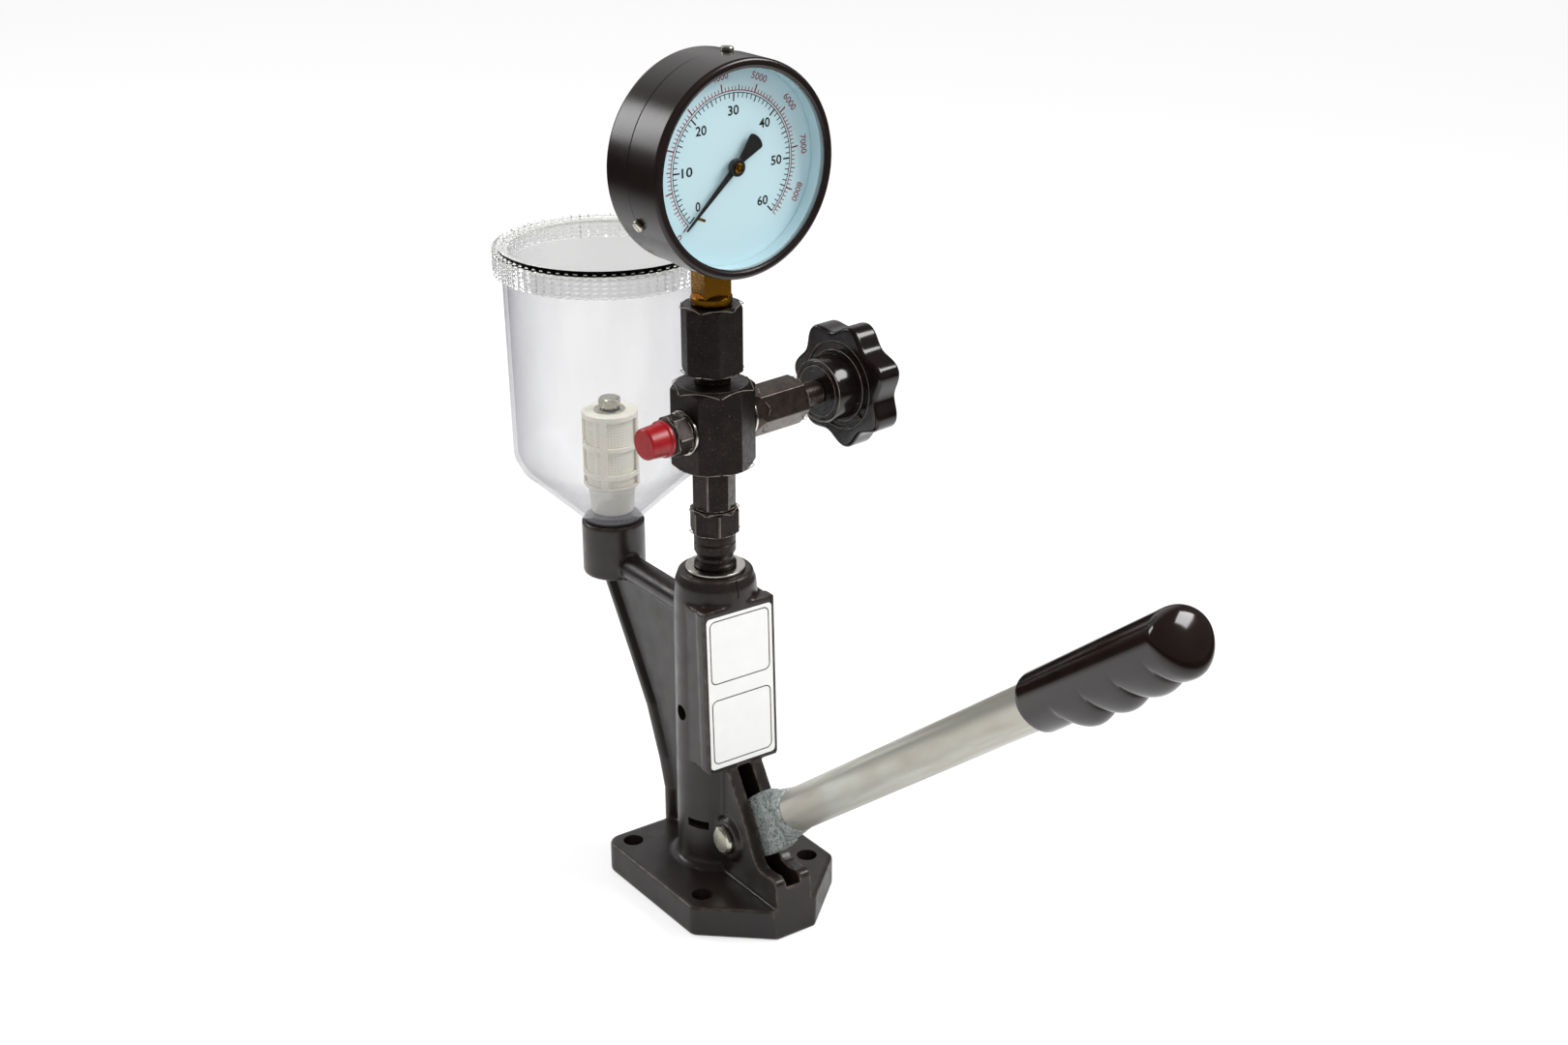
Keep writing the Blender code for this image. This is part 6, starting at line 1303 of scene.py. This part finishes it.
CARRIED = {
    "pump_barrel": GROUND,
    "plunger": GROUND,
    "tappet": GROUND,
    "return_spring": SPRING,
    "delivery_valve_seat": GROUND,
    "delivery_valve": GROUND,
    "delivery_valve_spring": SPRING,
    "seat_seal": COPPER,
    "gland_packing": RUBBER,
    "valve_needle": GROUND,
    "gauge_seal": COPPER,
    "sector_gear": BRASS,
    "movement_frame": BRASS,
    "bourdon_tube": COPPER,
    "bourdon_link": BRASS,
}
for name, finish in CARRIED.items():
    slots = nodes[name].material_slots
    for slot in slots:
        slot.material = finish


# Stage: pale floor, soft lamps and the camera


def softbox(name, place, aim, width, height, power, gloss=True):
    lamp = bpy.data.lights.new(name, "AREA")
    lamp.shape = "RECTANGLE"
    lamp.size = width
    lamp.size_y = height
    lamp.energy = power
    holder = bpy.data.objects.new(name, lamp)
    bpy.context.scene.collection.objects.link(holder)
    holder.location = place
    holder.visible_glossy = gloss
    holder.rotation_euler = (Vector(aim) - Vector(place)).to_track_quat("-Z", "Y").to_euler()


def make_stage():
    shape = bmesh.new()
    bmesh.ops.create_grid(shape, x_segments=1, y_segments=1, size=9)
    mesh = bpy.data.meshes.new("floor")
    shape.to_mesh(mesh)
    shape.free()
    floor = bpy.data.objects.new("floor", mesh)
    bpy.context.scene.collection.objects.link(floor)
    made, tree, shader, place = material("white studio floor", "#bababa", 0.9)
    shader.inputs["Specular IOR Level"].default_value = 0.0
    path = node(tree, "ShaderNodeLightPath").outputs
    reach = node(tree, "ShaderNodeVectorMath", links={0: place}, operation="LENGTH").outputs["Value"]
    far = node(tree, "ShaderNodeMapRange", {"From Min": 0.45, "From Max": 1.05}, {"Value": reach}).outputs[0]
    # for glossy rays the floor's colour fades to near black with distance: painted shade in what the object reflects
    dim = node(tree, "ShaderNodeMath", links={0: far, 1: path["Is Glossy Ray"]}, operation="MULTIPLY")
    tree.links.new(blend_colours(tree, dim.outputs[0], "#bababa", "#0a0a0a"), shader.inputs["Base Color"])
    # the floor's glow for glossy rays is lowest right under the object and fades again far off: a painted shadow in the
    # object's reflections of the floor
    under = node(tree, "ShaderNodeMapRange", {"From Min": 0.06, "From Max": 0.24, "To Min": 0.25, "To Max": 0.72}, {"Value": reach})
    glow = node(tree, "ShaderNodeMath", {0: 1.0}, {1: far}, operation="SUBTRACT")
    glow = node(tree, "ShaderNodeMath", links={0: glow.outputs[0], 1: under.outputs[0]}, operation="MULTIPLY")
    seen = node(tree, "ShaderNodeMath", links={0: glow.outputs[0], 1: path["Is Glossy Ray"]}, operation="MULTIPLY")
    through = node(tree, "ShaderNodeMath", {1: 0.8}, {0: path["Is Transmission Ray"]}, operation="MULTIPLY")
    plain = node(tree, "ShaderNodeMath", {1: 0.575}, {0: path["Is Camera Ray"]}, operation="MULTIPLY")
    plain = node(tree, "ShaderNodeMath", links={0: plain.outputs[0], 1: through.outputs[0]}, operation="MAXIMUM")
    lift = node(tree, "ShaderNodeMath", links={0: seen.outputs[0], 1: plain.outputs[0]}, operation="MAXIMUM")
    shader.inputs["Emission Color"].default_value = linear("#ffffff")
    tree.links.new(lift.outputs[0], shader.inputs["Emission Strength"])
    mesh.materials.append(made)

    world = bpy.data.worlds.new("studio")
    bpy.context.scene.world = world
    world.use_nodes = True
    tree = world.node_tree
    ground = tree.nodes["Background"]
    ground.inputs["Color"].default_value = (1, 1, 1, 1)
    path = node(tree, "ShaderNodeLightPath").outputs
    way = node(tree, "ShaderNodeTexCoord").outputs["Generated"]
    rear = node(tree, "ShaderNodeVectorMath", {1: (0.25, 0.85, 0.46)}, {0: way}, operation="DOT_PRODUCT").outputs["Value"]
    limits = {"From Min": 0.80, "From Max": 0.97, "To Min": 0.09, "To Max": 0.8}
    sky = node(tree, "ShaderNodeMapRange", limits, {"Value": rear}).outputs[0]
    either = node(tree, "ShaderNodeMath", links={0: path["Is Camera Ray"], 1: path["Is Transmission Ray"]}, operation="MAXIMUM")
    gloss = node(tree, "ShaderNodeMath", links={0: path["Is Glossy Ray"], 1: sky}, operation="MULTIPLY")
    strength = node(tree, "ShaderNodeMath", links={0: either.outputs[0], 1: gloss.outputs[0]}, operation="MAXIMUM")
    plain = node(tree, "ShaderNodeMath", {1: 0.72}, {0: path["Is Diffuse Ray"]}, operation="MULTIPLY")
    base = node(tree, "ShaderNodeMath", links={0: strength.outputs[0], 1: plain.outputs[0]}, operation="MAXIMUM")
    tree.links.new(base.outputs[0], ground.inputs["Strength"])

    softbox("left rear softbox", (-1.1, 1.68, 1.1), (0, 0, 0.38), 0.5, 0.92, 11)
    softbox("right softbox", (0.66, -0.50, 1.02), (0.05, 0, 0.25), 0.62, 0.42, 9)
    softbox("overhead softbox", (-0.3, 0.4, 1.7), (0, 0, 0.2), 0.8, 0.5, 4, gloss=False)
    softbox("front fill", (-1.3, -1.9, 1.1), (0, 0, 0.2), 0.9, 0.9, 8, gloss=False)

    data = bpy.data.cameras.new("camera")
    data.sensor_width = 36
    data.lens = 2354.94 / 1620 * 36
    data.clip_end = 50
    eye = bpy.data.objects.new("camera", data)
    bpy.context.scene.collection.objects.link(eye)
    azimuth = radians(-35.415)
    roll = radians(-0.124)
    back = Vector((-0.534193, -0.751271, 0.387595))
    right = Vector((cos(azimuth), sin(azimuth), 0))
    up = back.cross(right)
    across = cos(roll) * right + sin(roll) * up
    upward = cos(roll) * up - sin(roll) * right
    pose = Matrix((across, upward, back)).transposed().to_4x4()
    pose.translation = (-0.567131, -0.856005, 0.631113)
    eye.matrix_world = pose
    bpy.context.scene.camera = eye
    bpy.context.scene.view_settings.view_transform = "Standard"


make_stage()
